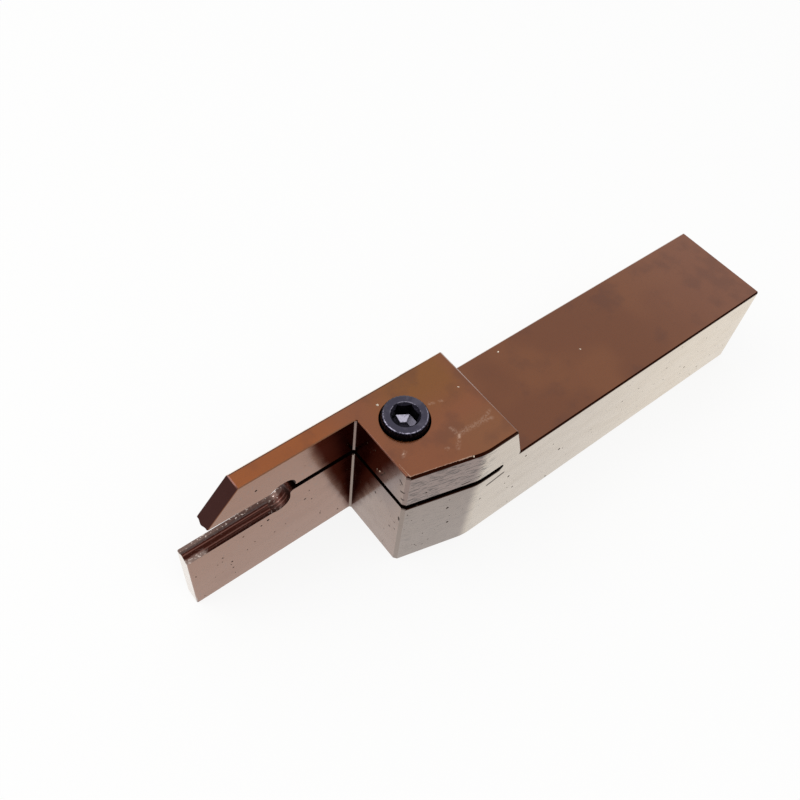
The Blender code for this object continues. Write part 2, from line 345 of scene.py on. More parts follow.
@dataclass(frozen=True)
class BrownOxide:
    """Hot brown oxide on ground and milled alloy steel, wiped with oil.

    The eye gets a red-brown metal, near to bronze, under a clear film that turns pale where it is seen
    at a low angle. The flanks are paler and greyer than the tops: partly their ground finish, partly a
    painted reflection of the white table. The near top edges carry a painted dark reflection and the
    inner corner beside the blade painted shade; both are nearly black and carry no film, and the far
    edges are rubbed bright. Each colour is named for the place or the mark that it stands on.

    Grinding leaves lines along the bar about 0.05 mm apart, and milling leaves dashes on the taper about
    0.1 mm apart. The lines are drawn 0.4 mm apart, the dashes 0.28 mm apart and the grain of the ground
    faces 0.45 mm wide, because finer ones would not show.

    Attributes:
        front_x: Where the head's front stands along the bar, in millimetres, as are all sizes here.
        top_z: How high the head's top is.
        near_y: Where the near side is.
        tint_size: The length of the heat tint's bands.
        smear_size: The length of the oil's smears.
        fleck_size: The width of the stains on the flanks.
        grain_size: The width of the grain.
        dash_size: The lengths of the cutter's dashes along X, Y and Z.
        line_size: The lengths of the grinding lines along X, Y and Z.
        wave_size: The length of the waves that polishing leaves.
        wave_depth: How deep those are.
        line_depth: How deep the grinding lines are.
        scuff_depth: How deep a scuff is.
        scuff_grain: The width of the gaps in a soft scuff.
        scuff_strength: How strongly a soft scuff shows against a bright rub.
        scuff_raggedness: The length of the waves in a soft scuff's outline, and how high they are.
        rub_raggedness: The same for a bright rub.
        line_raggedness: The same for a dark scratch.
        scuff_dulling: How much rougher the metal is in a scuff.
        sheen_size: The lengths of the dull and bright smears along X, Y and Z.
        sheen_range: How much smoother and rougher than usual they are.
        corner_size: The length of the waves in the dark corner's outline.
        corner_wave: How high those are.
        corner_reach: How far the dark reaches from the part's middle towards the tip, at the table's height.
        corner_slope: How much farther it reaches for each millimetre of height.
        corner_across: How much a place across the bar counts against one along it.
        low_dashes: How strongly the cutter's dashes show below the slit.
        bare_nose: How much of the film is missing on the jaw's nose.
        bare_flanks: How much of it is missing on the flanks.
        bare_dashes: How much of it is missing in the cutter's dashes.
    """

    shank: str = "#7e4726"
    shank_warm: str = "#8a512c"
    shank_pale: str = "#8d563b"
    head: str = "#955530"
    head_olive: str = "#905719"
    head_red: str = "#925a33"
    jaw_top: str = "#a3571f"
    flank: str = "#8a5b3f"
    front: str = "#7e5a42"
    painted_dark_front_edge: str = "#5e3022"
    tip: str = "#dccab8"
    taper: str = "#806e62"
    milled: str = "#796056"
    mill_dash: str = "#3a302c"
    ground_flank_and_reflection: str = "#b8a792"
    rear_flank_and_reflection: str = "#d0bc9e"
    stain_and_painted_shade: str = "#5a3327"
    fleck: str = "#6f6158"
    dark_edge: str = "#240a05"
    corner_shade: str = "#52271f"
    rubbed_edge: str = "#f0e6d8"
    shank_edge: str = "#a08474"
    jaw_edge: str = "#84502c"
    nose: str = "#43201b"
    painted_dark_nose_edge: str = "#55291c"
    scuff: str = "#d6b49e"
    dull: str = "#bcb8b6"
    roughness: float = 0.24
    film_roughness: float = 0.12
    front_x: float = -35.0
    top_z: float = 35.5
    near_y: float = -12.5
    tint_size: float = 26.0
    smear_size: float = 7.0
    fleck_size: float = 0.9
    grain_size: float = 0.45
    dash_size: Spot = (1.9, 1.9, 0.28)
    line_size: Spot = (14.0, 0.4, 0.4)
    wave_size: float = 4.0
    wave_depth: float = 0.012
    line_depth: float = 0.0022
    scuff_depth: float = 0.004
    scuff_grain: float = 0.4
    scuff_strength: float = 0.5
    scuff_raggedness: Point = (0.8, 0.4)
    rub_raggedness: Point = (0.4, 0.15)
    line_raggedness: Point = (1.2, 0.12)
    scuff_dulling: float = 0.22
    sheen_size: Spot = (9.0, 3.0, 3.0)
    sheen_range: Point = (0.05, 0.09)
    corner_size: float = 2.5
    corner_wave: float = 1.6
    corner_reach: float = 30.0
    corner_slope: float = 0.3
    corner_across: float = 0.86
    low_dashes: float = 0.4
    bare_nose: float = 0.75
    bare_flanks: float = 0.2
    bare_dashes: float = 0.7

    def material(self) -> Finish:
        """Make the material of the block's outer faces.

        Returns:
            The material.
        """
        made, tree = bare_material("brown_oxide_on_ground_steel")
        surface = Surface.of(tree)
        marks = BlockMarks(
            scuffs=self.scuffs(tree, surface),
            edges=self.painted_dark_edges(tree, surface),
            corner=self.corner_shade_mask(tree, surface),
            lines=self.dark_lines(tree, surface),
            dashes=self.mill_dashes(tree, surface),
        )
        # The painted dark edges and corner shade, and the dark scratches.
        dark = most(tree, marks.edges, marks.corner, marks.lines)
        bare = self.bare_of_film(tree, surface, dark, marks.dashes)
        film = add(tree, "Math", {0: 1.0, 1: bare}, operation="SUBTRACT", use_clamp=True)
        shader = add(tree, "BsdfPrincipled", {
            "Base Color": self.colour(tree, surface, marks),
            "Metallic": 1.0,
            "Roughness": self.sheen(tree, surface, marks),
            "Coat Weight": film.outputs[0],
            "Coat Roughness": self.film_roughness,
            # A dull tint takes the pale grazing reflection off the dark places, which deepens the painted
            # shade.
            "Specular Tint": coated(tree, "#ffffff", [(dark, self.dull, 1.0)]),
            "Normal": self.relief(tree, surface, marks),
        })
        add(tree, "OutputMaterial", {"Surface": shader.outputs[0]})
        return made

    def scuffs(self, tree: Tree, surface: Surface) -> Socket:
        """Draw the light marks: the head's scuff with its rays, rubs near the edges, painted edge highlights.

        Args:
            tree: The node tree.
            surface: The surface that the marks lie on.

        Returns:
            Their mask.
        """
        top = self.top_z
        front = self.front_x
        rays = surface.shaken(tree, *self.scuff_raggedness).strokes(tree, [
            ((-20.8, -4.0, top), (-20.5, -6.0, top), 1.7),
            ((-20.6, -6.3, top), (-22.6, -8.3, top), 1.5),
            ((-20.5, -6.0, top), (-18.0, -5.9, top), 1.8),
            ((-18.0, -5.9, top), (-14.9, -6.2, top), 2.0),
            ((-14.9, -6.2, top), (-12.3, -6.8, top), 1.5),
            ((-14.4, -6.0, top), (-11.6, -5.2, top), 1.3),
            ((-24.5, -7.2, top), (-24.3, -7.3, top), 1.2),
            ((-32.6, -3.6, top), (-31.8, -3.0, top), 1.5),
            ((-20.4, 3.1, top), (-19.8, 2.8, top), 1.2),
            ((-18.5, 2.5, top), (-18.0, 2.3, top), 1.0),
            ((-10.2, -3.9, top), (-10.1, -4.7, top), 0.9),
            ((front, 0.4, 26.6), (front, -1.2, 28.0), 1.2),
        ])
        broken = where(tree, (surface.cloud(tree, self.scuff_grain, 4.0), 0.32, 0.68))
        soft = add(tree, "Math", {0: rays, 1: broken}, operation="MULTIPLY").outputs[0]
        # Bright rubs beside the nicks, and painted highlights along the head's front and near top edges.
        bright = surface.shaken(tree, *self.rub_raggedness).strokes(tree, [
            ((-20.5, -6.1, top), (-20.8, -6.5, top), 0.9),
            ((-24.4, -10.6, top), (-21.6, -11.3, top), 0.4),
            ((-34.4, -4.6, top), (-34.4, -7.2, top), 0.16),
            ((-34.4, -7.2, top), (-34.3, -8.0, top), 0.34),
            ((-34.2, -8.0, top), (-24.4, -10.55, top), 0.2),
            ((-32.4, -3.3, top), (-32.2, -3.1, top), 0.5),
        ])
        joined = add(tree, "Math", {0: soft, 1: self.scuff_strength, 2: bright}, operation="MULTIPLY_ADD",
                     use_clamp=True)
        return joined.outputs[0]

    def dark_lines(self, tree: Tree, surface: Surface) -> Socket:
        """Draw the dark marks: a long scratch below the slit's end, and short ones on the head's front.

        Args:
            tree: The node tree.
            surface: The surface that the marks lie on.

        Returns:
            Their mask.
        """
        front = self.front_x
        return surface.shaken(tree, *self.line_raggedness).strokes(tree, [
            ((-15.3, self.near_y, 19.5), (-10.8, self.near_y, 20.3), 1.2),
            ((-22.4, -11.5, 25.4), (-20.9, -11.8, 25.6), 0.7),
            ((-19.3, -12.1, 26.2), (-18.4, -12.3, 26.4), 0.6),
            ((front, -6.1, 32.2), (front, -6.8, 31.6), 0.8),
            ((front, -6.8, 28.8), (front, -7.7, 29.3), 0.8),
            ((front, -7.2, 26.4), (front, -7.9, 26.6), 0.8),
            ((front, -7.3, 18.9), (front, -7.4, 17.7), 0.7),
            ((front, -0.6, 26.4), (front, -1.6, 28.8), 0.7),
        ])

    def painted_dark_edges(self, tree: Tree, surface: Surface) -> Socket:
        """Tell where dark reflection is painted on the tops' broken near edges, and shade under the slit.

        Args:
            tree: The node tree.
            surface: The surface that the oxide lies on.

        Returns:
            A mask of those places.
        """
        x, z = surface.x, surface.z
        near_side = (surface.near, 0.5, 0.7)
        behind_front = (x, -35.5, -34.9)
        broken = where(tree, (surface.near, 0.08, 0.25), (surface.facing_z, 0.15, 0.3), behind_front)
        lip = where(tree, near_side, (z, 22.45, 22.7), (z, 23.6, 23.4), (x, -36.0, -35.1), (x, -12.0, -12.6))
        head = where(tree, near_side, (z, 34.5, 34.7), behind_front)
        shank = where(tree, near_side, (z, 24.25, 24.4), (x, -7.4, -7.0))
        return most(tree, broken, lip, head, shank)

    def corner_shade_mask(self, tree: Tree, surface: Surface) -> Socket:
        """Tell where shade is painted where the blade and the head's front darken each other.

        A face sees the other one where it is near to the corner, and higher up it sees more of it,
        because light comes up from the table at a low slope.

        Args:
            tree: The node tree.
            surface: The surface that is darkened.

        Returns:
            A mask of the dark part.
        """
        inside = self.corner_reach
        for signal, weight in (
            (surface.z, self.corner_slope),
            (surface.y, self.corner_across),
            (surface.x, 1.0),
            (surface.cloud(tree, self.corner_size), self.corner_wave),
        ):
            inside = add(tree, "Math", {0: signal, 1: weight, 2: inside}, operation="MULTIPLY_ADD").outputs[0]
        turned = add(tree, "Math", {0: surface.facing_x, 1: surface.facing_y}, operation="ADD").outputs[0]
        return where(tree, (inside, 0.9, 4.5), (surface.facing_z, 0.5, 0.2), (surface.x, -34.8, -34.9),
                     (surface.y, 8.8, 8.6), (turned, -1.35, -1.15))

    def mill_dashes(self, tree: Tree, surface: Surface) -> Socket:
        """Tell where the cutter has left short dark dashes: on the taper, most of all above the slit.

        Args:
            tree: The node tree.
            surface: The surface that the dashes lie on.

        Returns:
            Their mask.
        """
        dashes = surface.cloud(tree, self.dash_size)
        taper = where(tree, (surface.near, 0.5, 0.8), (surface.x, -35.0, -34.0), (surface.x, -14.0, -18.0))
        above = where(tree, (dashes, 0.50, 0.60), (surface.z, 24.4, 24.8))
        below = where(tree, (dashes, 0.54, 0.66), share=self.low_dashes)
        both = most(tree, above, below)
        return add(tree, "Math", {0: taper, 1: both}, operation="MULTIPLY").outputs[0]

    def bare_of_film(self, tree: Tree, surface: Surface, dark: Socket, dashes: Socket) -> Socket:
        """Tell where the clear film is missing or thin.

        Args:
            tree: The node tree.
            surface: The surface that the film lies on.
            dark: The mask of the painted dark edges, corner shade and dark scratches, which carry none.
            dashes: The mask of the cutter's dashes.

        Returns:
            A mask that is one where there is no film.
        """
        nose = where(tree, (surface.x, -58.0, -60.0), (surface.front, 0.4, 0.6), (surface.facing_z, 0.3, 0.5),
                     share=self.bare_nose)
        flanks = where(tree, (surface.level, 0.55, 0.25), share=self.bare_flanks)
        dashed = add(tree, "Math", {0: dashes, 1: self.bare_dashes}, operation="MULTIPLY").outputs[0]
        return most(tree, dark, nose, dashed, flanks)

    def colour(self, tree: Tree, surface: Surface, marks: BlockMarks) -> Socket:
        """Paint the oxide's colours from the ground up.

        Args:
            tree: The node tree.
            surface: The surface that the colour lies on.
            marks: The masks of the marks on it.

        Returns:
            The base colour's socket.
        """
        x, y, z = surface.x, surface.y, surface.z
        tint = surface.cloud(tree, self.tint_size)
        smear = surface.cloud(tree, self.smear_size, 4.0)
        fleck = surface.cloud(tree, self.fleck_size, 3.0)
        grain = surface.cloud(tree, self.grain_size)
        upright = (surface.level, 0.55, 0.25)
        lit = (surface.facing_z, 0.2, 0.4)
        near_side = (surface.near, 0.2, 0.5)
        far_side = (surface.facing_y, 0.2, 0.5)
        front_side = (surface.front, 0.8, 0.95)
        rear_side = (surface.facing_x, 0.5, 0.8)
        head_and_shank = (x, -36.0, -35.1)
        above_slit = (z, 24.0, 24.6)
        jaw = (x, -35.0, -35.6)
        nose = (x, -58.0, -60.0)
        tops = [
            ([(tint, 0.46, 0.6)], self.shank_warm, 0.8),
            ([(x, 34.0, 72.0)], self.shank_pale, 0.9),
            ([(x, -7.0, -13.0)], self.head, 1.0),
            ([(x, -9.0, -14.0), (y, -3.0, 8.0), (x, -34.0, -22.0)], self.head_olive, 0.8),
            ([(x, -28.0, -17.0), (x, -8.0, -12.0), (y, 0.0, -7.0)], self.head_red, 0.8),
            ([(x, -34.0, -46.0)], self.jaw_top, 1.0),
            ([(smear, 0.5, 0.3)], self.stain_and_painted_shade, 0.30),
        ]
        # Flank colours: partly their ground finish, partly a painted reflection of the white table.
        sides = [
            ([upright], self.flank, 1.0),
            ([upright, front_side, head_and_shank], self.front, 1.0),
            # Painted reflection: the tip's end face painted near white.
            ([upright, front_side, (x, -74.6, -74.9)], self.tip, 1.0),
            ([upright, head_and_shank, near_side], self.taper, 1.0),
            ([upright, head_and_shank, near_side, above_slit], self.milled, 1.0),
            # Painted reflection: the shank's ground flanks paler, and all flanks palest towards the rear.
            ([upright, near_side, (x, -20.0, -17.5)], self.ground_flank_and_reflection, 1.0),
            ([upright, far_side, (x, -60.0, 50.0)], self.ground_flank_and_reflection, 1.0),
            ([upright, rear_side], self.ground_flank_and_reflection, 1.0),
            ([upright, (x, 0.0, 62.0)], self.rear_flank_and_reflection, 1.0),
            (marks.dashes, self.mill_dash, 0.8),
            ([upright, (fleck, 0.60, 0.70), (smear, 0.40, 0.56)], self.fleck, 0.42),
            ([(grain, 0.5, 0.75)], self.stain_and_painted_shade, 0.09),
            # Painted shade on the head's front, spreading from the inner corner beside the slit and along the
            # top.
            ([upright, front_side, head_and_shank, (z, 14.0, 25.0), (y, -8.4, -3.0)], self.stain_and_painted_shade, 0.8),
            ([upright, front_side, head_and_shank, (z, 28.5, 33.5), (y, -7.6, -4.6)],
             self.corner_shade, 0.75),
            (marks.corner, self.corner_shade, 1.0),
        ]
        edges = [
            # Painted dark reflection along the head's front top edge.
            ([(surface.front, 0.08, 0.25), (surface.facing_z, 0.5, 0.6), (x, -35.5, -35.1), (y, 9.0, 4.0)],
             self.painted_dark_front_edge, 0.8),
            # Painted dark reflection on the near top edges, and painted shade under the slit.
            (marks.edges, self.dark_edge, 0.97),
            ([(surface.near, 0.08, 0.3), lit, jaw], self.jaw_edge, 0.9),
            ([(surface.facing_y, 0.08, 0.25), lit], self.shank_edge, 0.8),
            ([(surface.facing_y, 0.08, 0.3), lit, (x, -8.0, -11.0), (smear, 0.3, 0.42)],
             self.rubbed_edge, 1.0),
            ([(y, 11.85, 11.95), (y, 12.12, 12.06), (surface.facing_z, 0.9, 0.98), (x, -10.0, -24.0)],
             self.dark_edge, 0.7),
            ([(surface.facing_x, 0.08, 0.3), lit, (smear, 0.46, 0.56)], self.shank_edge, 0.7),
            ([(surface.front, 0.4, 0.6), (surface.facing_z, 0.3, 0.5), nose], self.nose, 1.0),
            # Painted dark reflection on the nose's top edge, in place of the lamp's highlight.
            ([(surface.front, 0.1, 0.3), (surface.facing_z, 0.72, 0.78), nose], self.painted_dark_nose_edge, 1.0),
        ]
        wear = [
            (marks.lines, self.mill_dash, 1.0),
            (marks.scuffs, self.scuff, 0.65),
        ]
        return coated(tree, self.shank, tops + sides + edges + wear)

    def sheen(self, tree: Tree, surface: Surface, marks: BlockMarks) -> Socket:
        """Vary the metal's roughness in smears, and dull it where it is scratched.

        Args:
            tree: The node tree.
            surface: The surface.
            marks: The masks of the marks on it.

        Returns:
            The roughness's socket.
        """
        smears = surface.cloud(tree, self.sheen_size, 3.0)
        smoother, rougher = self.sheen_range
        ranged = add(tree, "MapRange", {0: smears, 1: 0.3, 2: 0.7, 3: self.roughness - smoother,
                                        4: self.roughness + rougher})
        dulled = add(tree, "Math", {0: marks.scuffs, 1: self.scuff_dulling, 2: ranged.outputs[0]},
                     operation="MULTIPLY_ADD")
        return dulled.outputs[0]

    def relief(self, tree: Tree, surface: Surface, marks: BlockMarks) -> Socket:
        """Raise the waves and the grinding lines, and cut the scuffs in.

        Args:
            tree: The node tree.
            surface: The surface that the tool marks lie on.
            marks: The masks of the marks on it.

        Returns:
            The normal's socket.
        """
        waved = add(tree, "Bump", {
            "Height": surface.cloud(tree, self.wave_size),
            "Strength": 1.0,
            "Distance": self.wave_depth * MM,
        })
        lined = add(tree, "Bump", {
            "Height": surface.cloud(tree, self.line_size, 3.0),
            "Strength": 1.0,
            "Distance": self.line_depth * MM,
            "Normal": waved.outputs[0],
        })
        cut = add(tree, "Bump", {
            "Height": marks.scuffs,
            "Strength": 1.0,
            "Distance": self.scuff_depth * MM,
            "Normal": lined.outputs[0],
        }, invert=True)
        return cut.outputs[0]


@dataclass(frozen=True)
class WireCutOxide:
    """Spark-eroded steel under the same brown oxide.

    The wire leaves a fine matt sand skin, so the pocket reads darker and duller than the ground faces,
    and its colour is painted darker still as shade in the recess. Its ledges and corners are rubbed
    grey and bright by the inserts, and the slit and the screw's bore are painted near black as shade.
    The skin's craters are about 0.03 mm wide and are drawn 0.35 mm wide, because finer would not show.

    Attributes:
        film: How much of the clear film there is outside the slit.
        crater: The width of the craters in millimetres, as are all sizes here.
        crater_depth: How deep they are.
        streak_size: The lengths of the rubbed streaks along X, Y and Z.
        chip_size: The width of the bright chips.
        wear_raggedness: The length of the waves in the worn places' outlines, and how high they are.
    """

    # The skin's own colour, painted darker still as shade in the pocket.
    colour: str = "#3f1a11"
    worn: str = "#8f7a72"
    line: str = "#8a5f55"
    bright: str = "#e6d6cc"
    edge: str = "#2c0f0a"
    gap_shade: str = "#1c0c08"
    roughness: float = 0.42
    film: float = 0.08
    film_roughness: float = 0.25
    crater: float = 0.35
    crater_depth: float = 0.02
    streak_size: Spot = (12.0, 0.25, 0.25)
    chip_size: float = 0.5
    wear_raggedness: Point = (0.7, 0.3)

    def material(self) -> Finish:
        """Make the material of the pocket, its reliefs and the slit.

        Returns:
            The material.
        """
        made, tree = bare_material("brown_oxide_on_wire_cut_steel")
        surface = Surface.of(tree)
        sand = surface.cloud(tree, self.crater, 3.0)
        slit = where(tree, (surface.x, -50.6, -49.4))
        film = add(tree, "Math", {0: slit, 1: -self.film, 2: self.film}, operation="MULTIPLY_ADD")
        bump = add(tree, "Bump", {"Height": sand, "Strength": 1.0, "Distance": self.crater_depth * MM})
        shader = add(tree, "BsdfPrincipled", {
            "Base Color": self.wear(tree, surface, sand, slit),
            "Metallic": 1.0,
            "Roughness": self.roughness,
            "Coat Weight": film.outputs[0],
            "Coat Roughness": self.film_roughness,
            "Normal": bump.outputs[0],
        })
        add(tree, "OutputMaterial", {"Surface": shader.outputs[0]})
        return made

    def wear(self, tree: Tree, surface: Surface, sand: Socket, slit: Socket) -> Socket:
        """Paint the pocket's wear.

        Args:
            tree: The node tree.
            surface: The surface that the wear lies on.
            sand: The grain of the spark-eroded skin.
            slit: The mask of the slit's walls.

        Returns:
            The base colour's socket.
        """
        ragged = surface.shaken(tree, *self.wear_raggedness)
        at = add(tree, "SeparateXYZ", {0: ragged.place})
        x, y = at.outputs["X"], at.outputs["Y"]
        streaks = surface.cloud(tree, self.streak_size)
        chips = surface.cloud(tree, self.chip_size)
        seat = (surface.z, 20.6, 20.2)
        far_land = (y, 11.15, 11.35)
        before_wall = (surface.x, -51.8, -53.0)
        return coated(tree, self.colour, [
            ([(streaks, 0.55, 0.7)], self.worn, 0.15),
            ([far_land, seat], self.worn, 0.3),
            ([far_land, seat, (x, -62.0, -70.0)], self.worn, 0.5),
            ([(x, -70.0, -71.0), (y, 9.7, 9.4), seat], self.worn, 0.9),
            ([(surface.y, 10.14, 10.22), (surface.y, 10.4, 10.3), seat], self.line, 0.75),
            ([(surface.y, 9.36, 9.44), (surface.y, 9.62, 9.52), seat], self.line, 0.6),
            ([(surface.y, 8.9, 8.7), seat, (x, -70.8, -69.6)], self.edge, 0.9),
            ([(surface.x, -55.6, -54.9), before_wall], self.worn, 0.12),
            ([(chips, 0.62, 0.68), (surface.x, -56.5, -55.0), before_wall], self.bright, 0.45),
            ([(chips, 0.60, 0.66), (y, 11.5, 11.8), seat], self.bright, 0.8),
            ([(chips, 0.58, 0.66), (x, -69.6, -71.0), (y, 9.9, 9.2), seat], self.bright, 0.7),
            ([(sand, 0.58, 0.7)], self.worn, 0.2),
            # Painted shade in the slit and the screw's bore beyond it.
            (slit, self.gap_shade, 1.0),
        ])


@dataclass(frozen=True)
class SmallMark:
    """The inside of a small mark in the steel: a corrosion pit, or a knock that shows bare metal.

    A pit is dull and brown, and a knock is bright and a little rough.

    Attributes:
        name: The material's name.
        colour: Its main colour, as hex.
        tint: The colour of its grain, as hex.
        roughness: How rough it is.
        grain_size: The width of its grain in millimetres.
    """

    name: str
    colour: str
    tint: str
    roughness: float
    grain_size: float = 0.15

    def material(self) -> Finish:
        """Make the material of one kind of mark.

        Returns:
            The material.
        """
        made, tree = bare_material(self.name)
        grain = Surface.of(tree).cloud(tree, self.grain_size)
        shader = add(tree, "BsdfPrincipled", {
            "Base Color": coated(tree, self.colour, [([(grain, 0.45, 0.65)], self.tint, 0.7)]),
            "Metallic": 1.0,
            "Roughness": self.roughness,
        })
        add(tree, "OutputMaterial", {"Surface": shader.outputs[0]})
        return made


@dataclass(frozen=True)
class BlackOxide:
    """Black oxide on a cold-headed and knurled alloy steel screw.

    The eye gets a blue-black satin metal. The head's side and knurl are painted near black, a painted
    shade over the oxide's own dark colour, and the socket's mouth is painted dark as shade. The rims
    carry painted highlights broken into beads about 0.45 mm long. The socket's floor is scratched, and
    one facet is bright: bare steel where the key has turned, and a painted highlight. The oxide's
    crystals are far too fine to show, so its grain is drawn 0.3 mm wide.

    Attributes:
        axis: Where the screw's axis stands, in millimetres.
        worn_facet: Which way the bare, painted bright facet of the socket's floor lies, in degrees.
        patch_size: The width of dusty patches in millimetres.
        grain_size: The width of the grain in millimetres.
        grain_depth: How deep it is, in millimetres.
        bead_size: The length of the rubbed beads in millimetres.
        film: How much of the oil's film there is on the faces that look up.
    """

    axis: Spot
    top: str = "#474454"
    side: str = "#0c0a10"
    mouth_shade: str = "#24222c"
    painted_rim_highlight: str = "#b4afc2"
    dust: str = "#6c6876"
    bare: str = "#75727e"
    scratched: str = "#4b4854"
    worn_facet: float = 58.0
    roughness: float = 0.34
    side_roughness: float = 0.6
    bare_roughness: float = 0.22
    film: float = 0.35
    film_roughness: float = 0.2
    patch_size: float = 1.6
    grain_size: float = 0.3
    grain_depth: float = 0.012
    # bead_size: The length of the beads that break the painted rim highlights, in millimetres.
    bead_size: float = 0.45

    def material(self) -> Finish:
        """Make the screw's material.

        Returns:
            The material.
        """
        made, tree = bare_material("black_oxide_on_screw_steel")
        surface = Surface.of(tree)
        z = surface.z
        patches = surface.cloud(tree, self.patch_size, 3.0)
        grain = surface.cloud(tree, self.grain_size)
        beads = surface.cloud(tree, self.bead_size, 1.0)
        flat = add(tree, "VectorMath", {0: surface.place, 1: (1.0, 1.0, 0.0)}, operation="MULTIPLY")
        away = add(tree, "VectorMath", {0: flat.outputs[0], 1: self.axis}, operation="SUBTRACT").outputs[0]
        radius = add(tree, "VectorMath", {0: away}, operation="LENGTH").outputs["Value"]
        reaches = [add(tree, "VectorMath", {0: away, 1: self.way(turn)}, operation="DOT_PRODUCT")
                   for turn in (0.0, 60.0, -60.0)]
        along, after, before = (reach.outputs["Value"] for reach in reaches)
        side = where(tree, (surface.level, 0.88, 0.7))
        floor = where(tree, (z, 34.0, 33.9), (radius, 3.0, 2.9), (surface.facing_z, 0.4, 0.6))
        rubbed = where(tree, (floor, 0.4, 0.6), (after, 0.0, 0.1), (before, 0.0, 0.1), (along, 0.9, 1.1))
        top_face = (z, 36.6, 36.7)
        colour = coated(tree, self.top, [
            ([(patches, 0.5, 0.7)], self.dust, 0.45),
            # Painted shade: the head's side and knurl near black.
            (side, self.side, 1.0),
            # Painted shade in the socket's mouth.
            ([(radius, 3.1, 3.0), (surface.facing_z, 0.3, 0.5)], self.mouth_shade, 1.0),
            # Painted highlights on the head's rim and on the mouth's rim, each on one side only.
            ([(radius, 4.32, 4.40), (radius, 4.60, 4.50), top_face, (beads, 0.38, 0.54), (along, 1.8, 0.4)],
             self.painted_rim_highlight, 0.7),
            ([(radius, 3.0, 3.06), (radius, 3.22, 3.14), top_face, (beads, 0.40, 0.55), (along, 0.2, 1.0)],
             self.painted_rim_highlight, 0.6),
            ([(grain, 0.55, 0.75)], self.dust, 0.25),
            (floor, self.scratched, 0.8),
            # The bare facet: rubbed steel, and a painted highlight.
            (rubbed, self.bare, 1.0),
            ([(rubbed, 0.4, 0.6), (beads, 0.52, 0.62)], self.scratched, 0.6),
        ])
        dull = add(tree, "Math", {0: side, 1: self.side_roughness - self.roughness, 2: self.roughness},
                   operation="MULTIPLY_ADD").outputs[0]
        worn = add(tree, "Math", {0: rubbed, 1: self.bare_roughness - self.roughness, 2: dull},
                   operation="MULTIPLY_ADD").outputs[0]
        film = add(tree, "Math", {0: side, 1: -self.film, 2: self.film}, operation="MULTIPLY_ADD")
        bump = add(tree, "Bump", {"Height": grain, "Strength": 1.0, "Distance": self.grain_depth * MM})
        shader = add(tree, "BsdfPrincipled", {
            "Base Color": colour,
            "Metallic": 1.0,
            "Roughness": worn,
            "Coat Weight": film.outputs[0],
            "Coat Roughness": self.film_roughness,
            "Normal": bump.outputs[0],
        })
        add(tree, "OutputMaterial", {"Surface": shader.outputs[0]})
        return made

    def way(self, turn: float) -> Vector:
        """Find the way that lies some degrees on from the middle of the bare part."""
        angle = math.radians(self.worn_facet + turn)
        return Vector((math.cos(angle), math.sin(angle), 0.0))


def arc(centre: Point, radius: float, start: float, end: float, step: float = 4.0) -> Outline:
    """Follow a circle.

    Args:
        centre: The circle's centre.
        radius: Its radius.
        start: The first angle in degrees.
        end: The last angle in degrees.
        step: The most degrees between two points.

    Returns:
        Points from the first angle to the last, both included.
    """
    count = max(2, math.ceil(abs(end - start) / step))
    angles = [math.radians(start + (end - start) * number / count) for number in range(count + 1)]
    return [(centre[0] + radius * math.cos(angle), centre[1] + radius * math.sin(angle)) for angle in angles]


def keep_shape(name: str, shape: Shape, finishes: list[Finish]) -> Thing:
    """Turn a shape that was built in memory into an object of the scene.

    Args:
        name: The object's name.
        shape: The shape, which is freed.
        finishes: The materials of its slots.

    Returns:
        The object.
    """
    bmesh.ops.recalc_face_normals(shape, faces=shape.faces)
    mesh = bpy.data.meshes.new(name)
    shape.to_mesh(mesh)
    shape.free()
    for finish in finishes:
        mesh.materials.append(finish)
    made = bpy.data.objects.new(name, mesh)
    bpy.context.scene.collection.objects.link(made)
    return made


def loft(shape: Shape, rings: list[Ring]) -> None:
    """Skin closed rings of equally many points, and close both ends with a face.

    Args:
        shape: The shape that gets the skin.
        rings: The rings from one end to the other.
    """
    rows = [[shape.verts.new(point) for point in ring] for ring in rings]
    for row, following in zip(rows, rows[1:]):
        for here in range(len(row)):
            there = (here + 1) % len(row)
            shape.faces.new((row[here], row[there], following[there], following[here]))
    shape.faces.new(reversed(rows[0]))
    shape.faces.new(rows[-1])


def settle(thing: Thing) -> None:
    """Keep what an object's modifiers make as its mesh.

    Args:
        thing: The object, which loses its modifiers.
    """
    bpy.context.view_layer.update()
    finished = thing.evaluated_get(bpy.context.evaluated_depsgraph_get())
    mesh = bpy.data.meshes.new_from_object(finished)
    thing.modifiers.clear()
    thing.data = mesh


def part_finishes(mesh: bpy.types.Mesh) -> None:
    """Mark each edge between two finishes as sharp, so that neither bends the other's shading.

    Args:
        mesh: The mesh whose edges are marked.
    """
    met = {}
    for face in mesh.polygons:
        for edge in face.edge_keys:
            met.setdefault(edge, set()).add(face.material_index)
    for edge in mesh.edges:
        if len(met.get(edge.key, ())) > 1:
            edge.use_edge_sharp = True


def shade(thing: Thing, sharp_from: float) -> None:
    """Shade an object smooth between its sharp edges, and let its flat faces look flat.

    Args:
        thing: The object.
        sharp_from: The angle in degrees from which an edge is sharp.
    """
    thing.data.shade_smooth()
    thing.data.set_sharp_from_angle(angle=math.radians(sharp_from))
    part_finishes(thing.data)
    steady = thing.modifiers.new("flat_faces_stay_flat", "WEIGHTED_NORMAL")
    steady.keep_sharp = True


def carve(target: Thing, tool: Thing, operation: str = "DIFFERENCE") -> None:
    """Cut one object with another by an exact Boolean, and remove the tool.

    Args:
        target: The object that stays.
        tool: The object that cuts it.
        operation: DIFFERENCE, INTERSECT or UNION.
    """
    cut = target.modifiers.new("cut", "BOOLEAN")
    cut.operation = operation
    cut.solver = "EXACT"
    cut.object = tool
    settle(target)
    bpy.data.objects.remove(tool, do_unlink=True)


